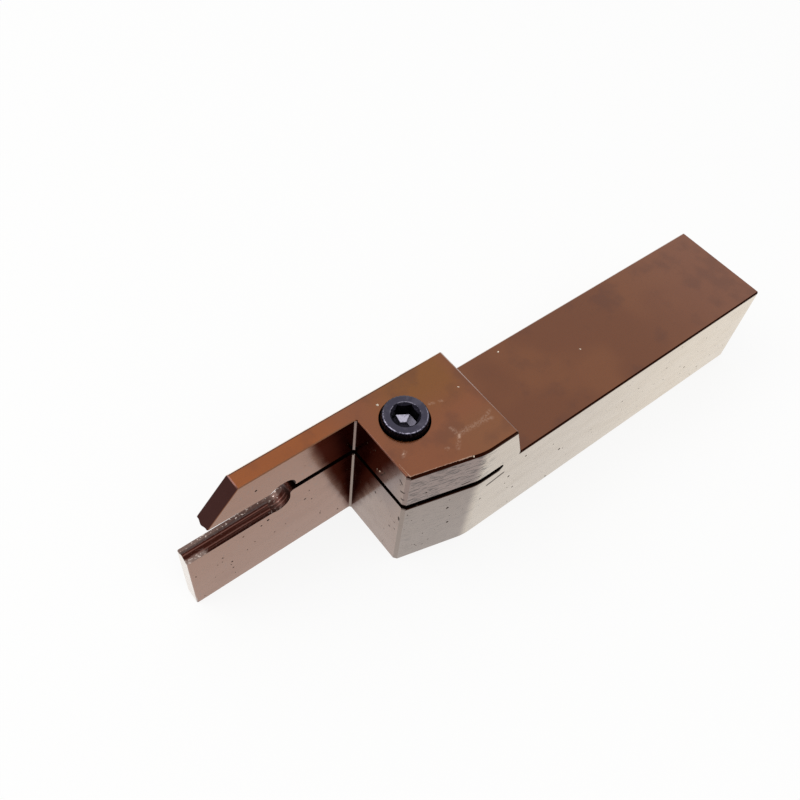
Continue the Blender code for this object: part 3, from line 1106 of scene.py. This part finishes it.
@dataclass(frozen=True)
class MarkedFace:
    """A flat face of the block that carries pits.

    Attributes:
        corner: One corner of the face.
        across: The way to the next corner.
        up: The way to the corner after that; across times up points out of the steel.
        pits: How many pits it has.
    """

    corner: Vector
    across: Vector
    up: Vector
    pits: int

    @property
    def outward(self) -> Vector:
        """Tell which way the face looks."""
        return self.across.cross(self.up).normalized()


@dataclass
class HolderBlock:
    """The steel block: square shank, raised head, and a blade slit into a seat and a clamping jaw.

    Attributes:
        low: The lowest corner of the solid's box.
        high: Its highest corner.
        screw_x: Where the clamp screw's axis stands along the bar.
        screw_y: Where it stands across the bar.
        least_turn: The angle in degrees from which an outer edge is broken.
        edge_segments: How many facets a broken edge has.
        edge_profile: How round it is: 0.25 is a flat chamfer and 0.5 a quarter circle.
        drill_point: The angle of the drill's point in degrees.
        drill_blunt: How wide the point's end is, as a share of the hole.
        hole_step: The angle between two points of the bore in degrees.
        face_inset: How far the random pits keep from the edges of a face.
        mark_breadth: How broad a mark is against its length, at the least and at the most.
        mark_depth: How deep it is against its length, at the least and at the most.
        mark_lumps: How far its lumps stand from its middle, at the least and at the most.
        mark_spacing: How far apart two marks stand at the least, against their radii together.
        pit_radius: The least, the most and the usual radius of a random pit, in millimetres.
        seed: The number that the random marks start from.
        sharp_from: The angle in degrees from which an edge is shaded sharp.

    All other fields are the block's sizes and heights in metres.
    """

    low: Vector
    high: Vector
    screw_x: float
    screw_y: float
    shank_height: float = 25.0 * MM
    head_length: float = 25.0 * MM
    head_back_run: float = 3.3 * MM
    taper_length: float = 16.5 * MM
    taper_depth: float = 4.3 * MM
    taper_blend: float = 12.0 * MM
    corner_chamfer: float = 0.6 * MM
    blade_reach: float = 40.0 * MM
    blade_thickness: float = 4.0 * MM
    blade_fillet: float = 0.6 * MM
    jaw_top_setback: float = 12.8 * MM
    jaw_nose_setback: float = 5.4 * MM
    seat_height: float = 18.7 * MM
    mouth_height: float = 8.4 * MM
    throat_height: float = 7.8 * MM
    seat_relief_reach: float = 24.1 * MM
    seat_relief_radius: float = 3.0 * MM
    seat_relief_depth: float = 0.3 * MM
    jaw_relief_reach: float = 25.5 * MM
    jaw_relief_radius: float = 2.5 * MM
    jaw_relief_rise: float = 1.3 * MM
    jaw_relief_length: float = 6.2 * MM
    jaw_ramp_run: float = 2.3 * MM
    throat_corner: float = 0.8 * MM
    ridge_length: float = 19.7 * MM
    ridge_width: float = 2.4 * MM
    ridge_height: float = 1.0 * MM
    ridge_crest: float = 0.4 * MM
    jaw_ridge_height: float = 0.3 * MM
    jaw_ridge_end_gap: float = 0.6 * MM
    slit_height: float = 23.9 * MM
    slit_width: float = 1.6 * MM
    slit_end_setback: float = 1.6 * MM
    shank_edge: float = 0.35 * MM
    rear_edge: float = 0.8 * MM
    head_edge: float = 0.45 * MM
    blade_edge: float = 0.25 * MM
    bore_radius: float = 5.2 * MM
    bore_floor: float = 30.9 * MM
    hole_radius: float = 3.3 * MM
    hole_bottom: float = 8.2 * MM
    bore_rim: float = 0.12 * MM
    least_turn: float = 45.0
    edge_segments: int = 6
    edge_profile: float = 0.3
    drill_point: float = 118.0
    drill_blunt: float = 0.1
    hole_step: float = 3.75
    face_inset: float = 1.0 * MM
    mark_breadth: Point = (0.45, 1.0)
    mark_depth: Point = (0.28, 0.5)
    mark_lumps: Point = (0.86, 1.14)
    mark_spacing: float = 1.4
    pit_radius: Spot = (0.09, 0.30, 0.12)
    seed: int = 11
    sharp_from: float = 32.0

    def __post_init__(self) -> None:
        """Work out the places that several cuts share."""
        self.x_head = self.low.x + self.blade_reach
        self.x_head_back = self.x_head + self.head_length
        self.y_blade = self.high.y - self.blade_thickness
        self.x_land_end = self.low.x + self.jaw_relief_reach - self.jaw_relief_length
        self.finishes = [
            BrownOxide().material(),
            WireCutOxide().material(),
            SmallMark("dull_corrosion_pit", "#3a2a22", "#5a4a3e", 0.65).material(),
            SmallMark("bare_steel_knock", "#d9cdbd", "#a08670", 0.35).material(),
        ]

    def prism(self, name: str, outline: Outline, depth: Point, view: View, wall: Wall) -> Thing:
        """Push a closed outline through a depth.

        Args:
            name: The object's name.
            outline: Its corners in order.
            depth: Where it starts and ends along the view's depth.
            view: How the outline lies.
            wall: The kind of wall that it is, or leaves where it cuts.

        Returns:
            The solid.
        """
        shape = bmesh.new()
        turn = Matrix(view.value)
        loft(shape, [[turn @ Vector((*point, level)) for point in outline] for level in depth])
        for face in shape.faces:
            face.material_index = wall.value
        return keep_shape(name, shape, self.finishes)

    def jaw_front(self, height: float) -> float:
        """Find how far along the bar the jaw's sloping nose stands at a height.

        Args:
            height: The height.

        Returns:
            The place along the bar.
        """
        nose = self.seat_height + self.mouth_height
        slope = (self.jaw_top_setback - self.jaw_nose_setback) / (self.high.z - nose)
        return self.low.x + self.jaw_nose_setback + slope * (height - nose)

    def jaw_land(self, x: float) -> float:
        """Find the height of the jaw's lower face, which rises a little towards its nose.

        Args:
            x: The place along the bar.

        Returns:
            The height there.
        """
        x_nose = self.low.x + self.jaw_nose_setback
        rise = (self.mouth_height - self.throat_height) / (self.x_land_end - x_nose)
        return self.seat_height + self.throat_height + rise * (self.x_land_end - x)

    def side_outline(self) -> Outline:
        """Draw the block from the side.

        Returns:
            Its outline.
        """
        middle = self.seat_height + self.throat_height / 2
        return [
            (self.high.x, 0.0),
            (self.high.x, self.shank_height),
            (self.x_head_back + self.head_back_run, self.shank_height),
            (self.x_head_back, self.high.z),
            (self.jaw_front(self.high.z), self.high.z),
            (self.jaw_front(middle), middle),
            (self.low.x, middle),
            (self.low.x, 0.0),
        ]

    def plan_outline(self) -> Outline:
        """Draw the block from above, with the tapered head and the fillet beside the blade.

        Returns:
            Its outline.
        """
        taper = math.atan2(self.taper_depth, self.taper_length)
        tangent = self.taper_blend * math.tan(taper / 2)
        bend = (self.x_head + self.taper_length + tangent, self.low.y + self.taper_blend)
        blend = arc(bend, self.taper_blend, 270.0, 270.0 - math.degrees(taper), 2.0)
        y_front = self.low.y + self.taper_depth
        cut = self.corner_chamfer
        corner = [
            (self.x_head + cut * math.cos(taper), y_front - cut * math.sin(taper)),
            (self.x_head, y_front + cut),
        ]
        inner = (self.x_head - self.blade_fillet, self.y_blade - self.blade_fillet)
        fillet = arc(inner, self.blade_fillet, 0.0, 90.0, 10.0)
        return [
            (self.high.x, self.high.y),
            (self.high.x, self.low.y),
            *blend,
            *corner,
            *fillet,
            (self.low.x, self.y_blade),
            (self.low.x, self.high.y),
        ]

    def pocket_outline(self) -> Outline:
        """Draw the insert pocket, its two reliefs and the slit, as the wire runs.

        Returns:
            The outline of what the wire takes out.
        """
        slit_low = self.slit_height - self.slit_width / 2
        slit_high = self.slit_height + self.slit_width / 2
        wall = self.low.x + self.seat_relief_reach
        seat_centre = (wall - self.seat_relief_radius,
                       self.seat_height - self.seat_relief_depth + self.seat_relief_radius)
        entry = -90.0 - math.degrees(math.acos(1.0 - self.seat_relief_depth / self.seat_relief_radius))
        throat = (wall + self.throat_corner, slit_low - self.throat_corner)
        slit_end = (self.x_head_back - self.slit_end_setback - self.slit_width / 2, self.slit_height)
        relief = self.seat_height + self.throat_height + self.jaw_relief_rise
        jaw_centre = (self.low.x + self.jaw_relief_reach - self.jaw_relief_radius,
                      relief - self.jaw_relief_radius)
        meets = math.degrees(math.asin((slit_high - jaw_centre[1]) / self.jaw_relief_radius))
        outside = self.low.x - OVERSHOOT
        return [
            *arc(seat_centre, self.seat_relief_radius, entry, 0.0),
            *arc(throat, self.throat_corner, 180.0, 90.0, 10.0),
            *arc(slit_end, self.slit_width / 2, -90.0, 90.0, 10.0),
            *arc(jaw_centre, self.jaw_relief_radius, meets, 90.0),
            (self.x_land_end + self.jaw_ramp_run, relief),
            (self.x_land_end, self.jaw_land(self.x_land_end)),
            (outside, self.jaw_land(outside)),
            (outside, self.seat_height),
        ]

    def ridge_outline(self, base: float, rise: float) -> Outline:
        """Draw a V ridge across the blade.

        Args:
            base: The height of its foot.
            rise: How far its crest stands above the foot, or below it where negative.

        Returns:
            Its section, with a root that reaches past the foot.
        """
        middle = (self.y_blade + self.high.y) / 2
        flank = (self.ridge_width - self.ridge_crest) / 2 / abs(rise)
        half_root = self.ridge_width / 2 + flank * OVERSHOOT
        root = base - math.copysign(OVERSHOOT, rise)
        return [
            (middle - half_root, root),
            (middle + half_root, root),
            (middle + self.ridge_crest / 2, base + rise),
            (middle - self.ridge_crest / 2, base + rise),
        ]

    def edge_width(self, start: Vector, end: Vector, turn: float) -> float:
        """Say how wide an outer edge is broken.

        Args:
            start: One end of the edge.
            end: Its other end.
            turn: The angle between its two faces.

        Returns:
            The width of the break, or zero where the edge stays as it is.
        """
        near = 0.01 * MM
        if turn < math.radians(self.least_turn):
            return 0.0
        if min(start.x, end.x) > self.high.x - near:
            return self.rear_edge
        if max(start.x, end.x) < self.x_head + near:
            return self.blade_edge
        on_blade_side = min(start.y, end.y) > self.high.y - near and min(start.x, end.x) < self.x_head_back
        round_head_top = min(start.z, end.z) > self.high.z - near
        return self.head_edge if on_blade_side or round_head_top else self.shank_edge

    def blank(self) -> Thing:
        """Mill the block from its two outlines and round its outer edges.

        Returns:
            The block before the wire cuts it.
        """
        depth = (self.low.y, self.high.y)
        block = self.prism("browned_block", self.side_outline(), depth, View.SIDE, Wall.BROWNED)
        above = (self.low.z - OVERSHOOT, self.high.z + OVERSHOOT)
        carve(block, self.prism("plan", self.plan_outline(), above, View.TOP, Wall.BROWNED), "INTERSECT")
        widest = max(self.rear_edge, self.shank_edge, self.head_edge, self.blade_edge)
        shape = bmesh.new()
        shape.from_mesh(block.data)
        weights = shape.edges.layers.float.new("bevel_weight_edge")
        for edge in shape.edges:
            start, end = (vert.co for vert in edge.verts)
            edge[weights] = self.edge_width(start, end, abs(edge.calc_face_angle_signed())) / widest
        shape.to_mesh(block.data)
        shape.free()
        rounding = block.modifiers.new("rounding", "BEVEL")
        rounding.limit_method = "WEIGHT"
        rounding.offset_type = "OFFSET"
        rounding.width = widest
        rounding.segments = self.edge_segments
        rounding.profile = self.edge_profile
        settle(block)
        return block

    def pocket(self) -> Thing:
        """Make the tool that cuts the pocket and the slit and leaves the two V ridges standing.

        Returns:
            The tool.
        """
        through = (self.low.y - OVERSHOOT, self.high.y + OVERSHOOT)
        tool = self.prism("pocket", self.pocket_outline(), through, View.SIDE, Wall.WIRE_CUT)
        start = self.low.x - 2 * OVERSHOOT
        seat_ridge = self.ridge_outline(self.seat_height, self.ridge_height)
        along_seat = (start, self.low.x + self.ridge_length)
        carve(tool, self.prism("seat_ridge", seat_ridge, along_seat, View.END, Wall.WIRE_CUT))
        end = self.x_land_end - self.jaw_ridge_end_gap
        jaw_ridge = self.ridge_outline(0.0, -self.jaw_ridge_height)
        jaw = self.prism("jaw_ridge", jaw_ridge, (start - end, 0.0), View.END, Wall.WIRE_CUT)
        lean = math.atan2(self.jaw_land(start) - self.jaw_land(end), end - start)
        jaw.matrix_world = Matrix.Translation((end, 0.0, self.jaw_land(end))) @ Matrix.Rotation(lean, 4, "Y")
        carve(tool, jaw)
        return tool

    def screw_hole(self) -> Thing:
        """Make the tool that cuts the counterbore and the hole, whose walls take the slit's painted shade.

        Returns:
            The tool.
        """
        point = self.hole_radius / math.tan(math.radians(self.drill_point / 2))
        blunt = self.drill_blunt
        profile = [
            (self.bore_radius + OVERSHOOT, self.high.z + OVERSHOOT - self.bore_rim),
            (self.bore_radius, self.high.z - self.bore_rim),
            (self.bore_radius, self.bore_floor),
            (self.hole_radius, self.bore_floor),
            (self.hole_radius, self.hole_bottom),
            (blunt * self.hole_radius, self.hole_bottom - (1.0 - blunt) * point),
        ]
        shape = bmesh.new()
        loft(shape, [
            [Vector((self.screw_x + x, self.screw_y + y, height))
             for x, y in arc((0.0, 0.0), radius, self.hole_step, 360.0, self.hole_step)]
            for radius, height in profile
        ])
        for face in shape.faces:
            face.material_index = Wall.WIRE_CUT.value
        return keep_shape("screw_hole", shape, self.finishes)

    def marked_faces(self) -> list[MarkedFace]:
        """List the faces that carry pits, each a little inside its edges.

        Returns:
            The faces.
        """
        edge = self.face_inset
        low, high = self.low, self.high
        head_depth = self.y_blade - low.y - self.taper_depth
        shank = high.x - self.x_head_back - 2 * edge
        slope = self.taper_depth / self.taper_length
        taper_start = Vector((self.x_head + edge, low.y + self.taper_depth - slope * edge, edge))
        along_taper = Vector((1.0, -slope, 0.0)) * (self.taper_length - 3 * edge)
        wide = Vector((1.0, 0.0, 0.0))
        deep = Vector((0.0, 1.0, 0.0))
        tall = Vector((0.0, 0.0, 1.0))
        up_shank = tall * (self.shank_height - 3 * edge)
        up_head = tall * (high.z - 3 * edge)
        over_front = -deep * (head_depth - 2 * edge)
        along_blade = wide * (self.blade_reach - 2 * edge)
        under_blade = -deep * (self.blade_thickness - 2 * edge)
        along_far_side = -wide * (high.x - low.x - 2 * edge)
        over_rear = deep * (high.y - low.y - 2 * edge)
        return [
            MarkedFace(Vector((self.x_head_back, low.y, edge)), wide * shank, up_shank, 44),
            MarkedFace(taper_start, along_taper, up_head, 24),
            MarkedFace(Vector((self.x_head, self.y_blade - edge, edge)), over_front, up_head, 24),
            MarkedFace(Vector((low.x + edge, self.y_blade, edge)), along_blade, up_head, 34),
            MarkedFace(Vector((high.x - edge, high.y, edge)), along_far_side, up_shank, 70),
            MarkedFace(Vector((high.x, low.y + edge, edge)), over_rear, up_shank, 12),
            MarkedFace(Vector((low.x + edge, high.y - edge, 0.0)), along_blade, under_blade, 4),
        ]

    def blob(self, shape: Shape, centre: Vector, outward: Vector, radius: float, wall: Wall,
             chance: random.Random) -> None:
        """Add one lumpy flattened ball that bites a mark out of a face.

        Args:
            shape: The shape that collects the balls.
            centre: Where it bites.
            outward: Which way the face looks.
            radius: Its radius in the face.
            wall: The kind of wall that it leaves.
            chance: The source of its random form.
        """
        spin = Matrix.Rotation(chance.uniform(0, math.pi), 4, "Z")
        turn = outward.to_track_quat("Z", "Y").to_matrix().to_4x4() @ spin
        breadth = chance.uniform(*self.mark_breadth)
        depth = chance.uniform(*self.mark_depth)
        placed = Matrix.Translation(centre) @ turn @ Matrix.Diagonal((1.0, breadth, depth, 1.0))
        before = len(shape.faces)
        made = bmesh.ops.create_icosphere(shape, subdivisions=2, radius=radius, matrix=placed)
        for vert in made["verts"]:
            vert.co = centre + (vert.co - centre) * chance.uniform(*self.mark_lumps)
        shape.faces.ensure_lookup_table()
        for face in shape.faces[before:]:
            face.material_index = wall.value

    def marks(self) -> Thing:
        """Make the tool that bites the pits and the knocks that the block has taken.

        Returns:
            One object with all the small balls, none of which touches another.
        """
        chance = random.Random(self.seed)
        spacing = self.mark_spacing
        shape = bmesh.new()
        taken: list[tuple[Vector, float]] = []
        up = (0.0, 0.0, 1.0)
        front = (-1.0, 0.0, 0.0)
        near = (0.0, -1.0, 0.0)
        taper = (-0.252, -0.968, 0.0)
        # Each mark's place in millimetres, the way that its face looks, its radius and its kind.
        seen = [
            ((-21.3, -11.55, 35.40), (-0.2, -0.7, 0.7), 0.24, Wall.NICK),
            ((-35.0, -0.1, 27.3), front, 0.30, Wall.NICK),
            ((-35.0, 0.8, 27.0), front, 0.20, Wall.NICK),
            ((7.2, 10.5, 25.0), up, 0.24, Wall.NICK),
            ((23.7, 0.2, 25.0), up, 0.28, Wall.NICK),
            ((-29.4, 8.9, 35.5), up, 0.34, Wall.NICK),
            ((-13.0, 3.0, 35.5), up, 0.22, Wall.NICK),
            ((-56.5, 8.5, 17.0), near, 0.34, Wall.PIT),
            ((-67.6, 8.5, 12.8), near, 0.32, Wall.PIT),
            ((-47.4, 8.5, 16.3), near, 0.30, Wall.PIT),
            ((-58.5, 8.5, 31.1), near, 0.28, Wall.PIT),
            ((-73.9, 8.5, 11.9), near, 0.28, Wall.PIT),
            ((-43.5, 8.5, 5.9), near, 0.30, Wall.PIT),
            ((-35.0, 0.5, 17.9), front, 0.34, Wall.PIT),
            ((-35.0, -7.4, 18.4), front, 0.34, Wall.PIT),
            ((-24.6, -10.91, 17.1), taper, 0.36, Wall.PIT),
            ((-23.7, -11.14, 10.1), taper, 0.34, Wall.PIT),
            ((-16.3, -12.47, 14.7), near, 0.34, Wall.PIT),
            ((-8.3, -12.5, 16.3), near, 0.34, Wall.PIT),
            ((-5.3, -12.5, 8.7), near, 0.30, Wall.PIT),
            ((8.6, -12.5, 12.0), near, 0.36, Wall.PIT),
            ((54.2, -12.5, 9.3), near, 0.36, Wall.PIT),
            ((7.4, -12.5, 1.0), near, 0.40, Wall.PIT),
        ]
        for place, outward, radius, wall in seen:
            centre = Vector(place) * MM
            self.blob(shape, centre, Vector(outward), radius * MM, wall, chance)
            taken.append((centre, radius * MM))
        for face in self.marked_faces():
            for _ in range(face.pits):
                centre = face.corner + face.across * chance.random() + face.up * chance.random()
                radius = chance.triangular(*self.pit_radius) * MM
                if all((centre - other).length > spacing * (radius + size) for other, size in taken):
                    self.blob(shape, centre, face.outward, radius, Wall.PIT, chance)
                    taken.append((centre, radius))
        return keep_shape("marks", shape, self.finishes)

    def build(self) -> Thing:
        """Make the block in the order in which the shop makes it.

        Returns:
            The finished piece, which stands for the node holder_body.
        """
        block = self.blank()
        carve(block, self.pocket())
        carve(block, self.screw_hole())
        carve(block, self.marks())
        shade(block, self.sharp_from)
        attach(block, "holder")
        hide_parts("holder_body")
        return block


@dataclass
class ClampScrew:
    """The socket head cap screw that draws the jaw down, with knurled head and a helical thread.

    Attributes:
        seat: The point on its axis under its head.
        head_foot: How far the head's lower edge is broken.
        knurl_run_in: The height over which the knurl begins.
        knurl_run_out: How far below the chamfer it keeps its full depth.
        chamfer_rings: The rounded chamfer's rings: how far inward and how far below the top, as shares of
            the chamfer, and the share of the knurl's depth.
        knurl_count: How many grooves the knurl has.
        points_per_knurl: How many points a ring has for each groove.
        rings_per_turn: How many rings the thread has for each turn.
        flat_share: How far the thread's profile reaches past its depth, which leaves its crest flat.
        flank_slope: How steeply the profile falls, in depths for each pitch.
        tip_share: How wide the tip's end is against its chamfer's end.
        hex_turn: How far the socket is turned, in degrees.
        mouth_sides: How many sides the socket's countersunk mouth has.
        sharp_from: The angle in degrees from which an edge is shaded sharp.

    All other fields are the screw's sizes in metres.
    """

    seat: Vector
    head_radius: float = 4.9 * MM
    head_height: float = 6.0 * MM
    head_chamfer: float = 0.42 * MM
    head_foot: float = 0.3 * MM
    knurl_depth: float = 0.10 * MM
    knurl_low: float = 1.2 * MM
    knurl_run_in: float = 0.15 * MM
    knurl_run_out: float = 0.1 * MM
    chamfer_rings: tuple[Spot, ...] = ((0.25, 0.62, 1.0), (0.6, 0.22, 0.7), (1.0, 0.0, 0.4))
    knurl_count: int = 36
    points_per_knurl: int = 6
    thread_radius: float = 3.0 * MM
    thread_depth: float = 0.6 * MM
    pitch: float = 1.0 * MM
    rings_per_turn: int = 8
    flat_share: float = 1.25
    flank_slope: float = 3.2
    length: float = 20.0 * MM
    neck: float = 1.5 * MM
    tip_chamfer: float = 0.6 * MM
    tip_share: float = 0.98
    hex_flats: float = 5.0 * MM
    hex_depth: float = 3.7 * MM
    hex_floor_fall: float = 0.7 * MM
    hex_floor_radius: float = 1.3 * MM
    hex_turn: float = 28.0
    mouth_radius: float = 3.1 * MM
    mouth_lip: float = 0.2 * MM
    mouth_sides: int = 96
    sharp_from: float = 20.0

    def ring(self, radius: float, height: float, knurled: float = 0.0, threaded: float = 0.0) -> Ring:
        """Go once round the axis.

        Args:
            radius: The outer radius.
            height: The height above the seat.
            knurled: How much of the knurl's depth shows, from 0 to 1.
            threaded: How much of the thread's depth shows, from 0 to 1.

        Returns:
            The ring's points.
        """
        count = self.knurl_count * self.points_per_knurl
        points = []
        for number in range(count):
            share = number / count
            groove = max(0.0, math.cos(math.tau * share * self.knurl_count)) ** 2
            along = (height / self.pitch - share) % 1.0
            flank = min(1.0, max(0.0, self.flat_share - abs(along - 0.5) * self.flank_slope))
            inset = knurled * self.knurl_depth * groove + threaded * self.thread_depth * (1.0 - flank)
            angle = math.tau * share
            reach = radius - inset
            points.append(self.seat + Vector((reach * math.cos(angle), reach * math.sin(angle), height)))
        return points

    def turned_body(self) -> list[Ring]:
        """Turn the screw's outside, with its thread and its knurl.

        Returns:
            The rings from the thread's tip to the top of the head.
        """
        steps = self.rings_per_turn
        tip = self.thread_radius - self.tip_chamfer
        rings = [self.ring(tip * self.tip_share, -self.length)]
        start = -self.length + self.tip_chamfer
        count = round((-self.neck - start) / self.pitch * steps)
        for number in range(count + 1):
            height = start + (-self.neck - start) * number / count
            fade = min(1.0, number / steps, (count - number) / steps)
            rings.append(self.ring(self.thread_radius, height, threaded=fade))
        top = self.head_height
        rings += [
            self.ring(self.thread_radius, 0.0),
            self.ring(self.head_radius - self.head_foot, 0.0),
            self.ring(self.head_radius, self.head_foot),
            self.ring(self.head_radius, self.knurl_low),
            self.ring(self.head_radius, self.knurl_low + self.knurl_run_in, knurled=1.0),
            self.ring(self.head_radius, top - self.head_chamfer - self.knurl_run_out, knurled=1.0),
        ]
        for inward, below, knurled in self.chamfer_rings:
            radius = self.head_radius - inward * self.head_chamfer
            rings.append(self.ring(radius, top - below * self.head_chamfer, knurled))
        return rings

    def cutter(self, name: str, sides: int, levels: list[Point], finish: Finish) -> Thing:
        """Make a turned or six-sided tool on the screw's axis.

        Args:
            name: Its name.
            sides: How many sides it has.
            levels: Its radii and heights, from below.
            finish: The material that it leaves.

        Returns:
            The tool.
        """
        shape = bmesh.new()
        step = 360.0 / sides
        loft(shape, [
            [self.seat + Vector((x, y, height))
             for x, y in arc((0.0, 0.0), radius, self.hex_turn + step, self.hex_turn + 360.0, step)]
            for radius, height in levels
        ])
        return keep_shape(name, shape, [finish])

    def build(self) -> Thing:
        """Make the screw.

        Returns:
            The finished piece, which stands for the node clamp_screw.
        """
        finish = BlackOxide((self.seat.x / MM, self.seat.y / MM, 0.0)).material()
        shape = bmesh.new()
        loft(shape, self.turned_body())
        screw = keep_shape("black_cap_screw", shape, [finish])
        corner = self.hex_flats / math.sqrt(3.0)
        floor = self.head_height - self.hex_depth
        above = self.head_height + OVERSHOOT
        socket = [(self.hex_floor_radius, floor - self.hex_floor_fall), (corner, floor), (corner, above)]
        mouth = [
            (self.mouth_lip, self.head_height - self.mouth_radius + self.mouth_lip),
            (self.mouth_radius + OVERSHOOT, above),
        ]
        carve(screw, self.cutter("hex_socket", 6, socket, finish))
        carve(screw, self.cutter("socket_mouth", self.mouth_sides, mouth, finish))
        shade(screw, self.sharp_from)
        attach(screw, "screw")
        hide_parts("clamp_screw")
        return screw


@dataclass(frozen=True)
class Camera:
    """The photograph's point of view, as fitted to the block's corners.

    Attributes:
        azimuth: How far it stands round the part, in degrees.
        elevation: How high it looks down from, in degrees.
        roll: How far it is tilted, in degrees.
        place: Where it stands.
        lens: Its focal length in millimetres.
        sensor: The width of its picture in millimetres.
        nearest: How near it sees.
    """

    azimuth: float = -44.42
    elevation: float = 54.16
    roll: float = 7.82
    place: Spot = (-0.0970, -0.0663, 0.1781)
    lens: float = 39.2
    sensor: float = 36.0
    nearest: float = 0.01

    def build(self) -> None:
        """Set up the scene's camera."""
        angles = (self.azimuth, self.elevation, self.roll)
        azimuth, elevation, roll = (math.radians(angle) for angle in angles)
        level = math.cos(elevation)
        back = Vector((math.sin(azimuth) * level, -math.cos(azimuth) * level, math.sin(elevation)))
        right = (-back).cross(Vector((0.0, 0.0, 1.0))).normalized()
        up = right.cross(-back)
        tilted_right = math.cos(roll) * right + math.sin(roll) * up
        tilted_up = math.cos(roll) * up - math.sin(roll) * right
        turn = Matrix((tilted_right, tilted_up, back)).transposed().to_4x4()
        data = bpy.data.cameras.new("camera")
        data.lens = self.lens
        data.sensor_width = self.sensor
        data.clip_start = self.nearest
        camera = bpy.data.objects.new("camera", data)
        camera.matrix_world = Matrix.Translation(self.place) @ turn
        bpy.context.scene.collection.objects.link(camera)
        bpy.context.scene.camera = camera


@dataclass(frozen=True)
class Studio:
    """A plain white table under soft light.

    Attributes:
        key: Where the large soft lamp stands.
        key_size: The length of its sides.
        key_watts: Its power.
        fill: Where the small one stands.
        fill_size: The length of its sides.
        fill_watts: Its power.
        table_size: The length of the table's sides.
        table_gap: How far the table lies below the part.
        table_cells: How many cells it has along each side.
        table: Its colour, as hex.
        air: The colour of the room's light, as hex.
        white: What the camera sees of the table and the room.
        shadow_share: How much of the table's look comes from the light that falls on it.
    """

    key: Spot = (-0.45, 0.35, 0.75)
    key_size: float = 0.6
    key_watts: float = 2.6
    fill: Spot = (-0.08, -0.29, 0.63)
    fill_size: float = 0.3
    fill_watts: float = 0.6
    table_size: float = 6.0
    table_gap: float = 0.02 * MM
    table_cells: int = 4
    table: str = "#f2f2f0"
    air: str = "#dcdcdc"
    white: str = "#ffffff"
    shadow_share: float = 0.14

    def lamp(self, name: str, place: Spot, size: float, watts: float) -> None:
        """Hang one square soft lamp that looks at the part.

        Args:
            name: The lamp's name.
            place: Where it hangs.
            size: The length of its sides.
            watts: Its power.
        """
        data = bpy.data.lights.new(name, "AREA")
        data.size = size
        data.energy = watts
        lamp = bpy.data.objects.new(name, data)
        lamp.location = place
        lamp.rotation_mode = "QUATERNION"
        lamp.rotation_quaternion = Vector(place).to_track_quat("Z", "Y")
        bpy.context.scene.collection.objects.link(lamp)

    def table_material(self) -> Finish:
        """Make matt white board: it shows as white, and keeps a weak shadow of the part.

        It glows only for the rays that show it, straight or in a reflection, and not for those that
        light the part.

        Returns:
            The material.
        """
        made, tree = bare_material("matt_white_board")
        path = add(tree, "LightPath").outputs
        showing = most(tree, path["Is Camera Ray"], path["Is Glossy Ray"], path["Is Transmission Ray"])
        lit = add(tree, "BsdfDiffuse", {"Color": linear(self.table)})
        glow = add(tree, "Emission", {"Color": linear(self.white), "Strength": 1.0})
        share = add(tree, "Math", {0: showing, 1: 1.0 - self.shadow_share}, operation="MULTIPLY")
        mixed = add(tree, "MixShader", {0: share.outputs[0], 1: lit.outputs[0], 2: glow.outputs[0]})
        add(tree, "OutputMaterial", {"Surface": mixed.outputs[0]})
        return made

    def light_room(self) -> None:
        """Set the light of the room, which the camera sees as white."""
        world = bpy.data.worlds.new("room")
        world.use_nodes = True
        tree = world.node_tree
        tree.nodes.clear()
        seen = add(tree, "LightPath").outputs["Is Camera Ray"]
        shown = add(tree, "Mix", {0: seen, 6: linear(self.air), 7: linear(self.white)}, data_type="RGBA")
        light = add(tree, "Background", {"Color": shown.outputs[2], "Strength": 1.0})
        add(tree, "OutputWorld", {"Surface": light.outputs[0]})
        bpy.context.scene.world = world

    def build(self) -> None:
        """Lay the table, hang the lamps and set the light of the room."""
        shape = bmesh.new()
        cells = self.table_cells
        bmesh.ops.create_grid(shape, x_segments=cells, y_segments=cells, size=self.table_size / 2)
        table = keep_shape("table", shape, [self.table_material()])
        table.location.z = cad_box[0].z - self.table_gap
        self.lamp("key", self.key, self.key_size, self.key_watts)
        self.lamp("fill", self.fill, self.fill_size, self.fill_watts)
        self.light_room()
        bpy.context.scene.view_settings.view_transform = "Standard"


def main() -> None:
    """Build the stage and the two pieces in order."""
    logging.basicConfig(level=logging.INFO, format="%(name)s: %(message)s")
    Camera().build()
    Studio().build()
    turn = frame["joints"][0]
    axis = Vector(turn["pos_m"])
    low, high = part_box("holder_body")
    pieces = [
        HolderBlock(low, high, axis.x, axis.y).build(),
        ClampScrew(axis).build(),
    ]


if __name__ == "__main__":
    main()
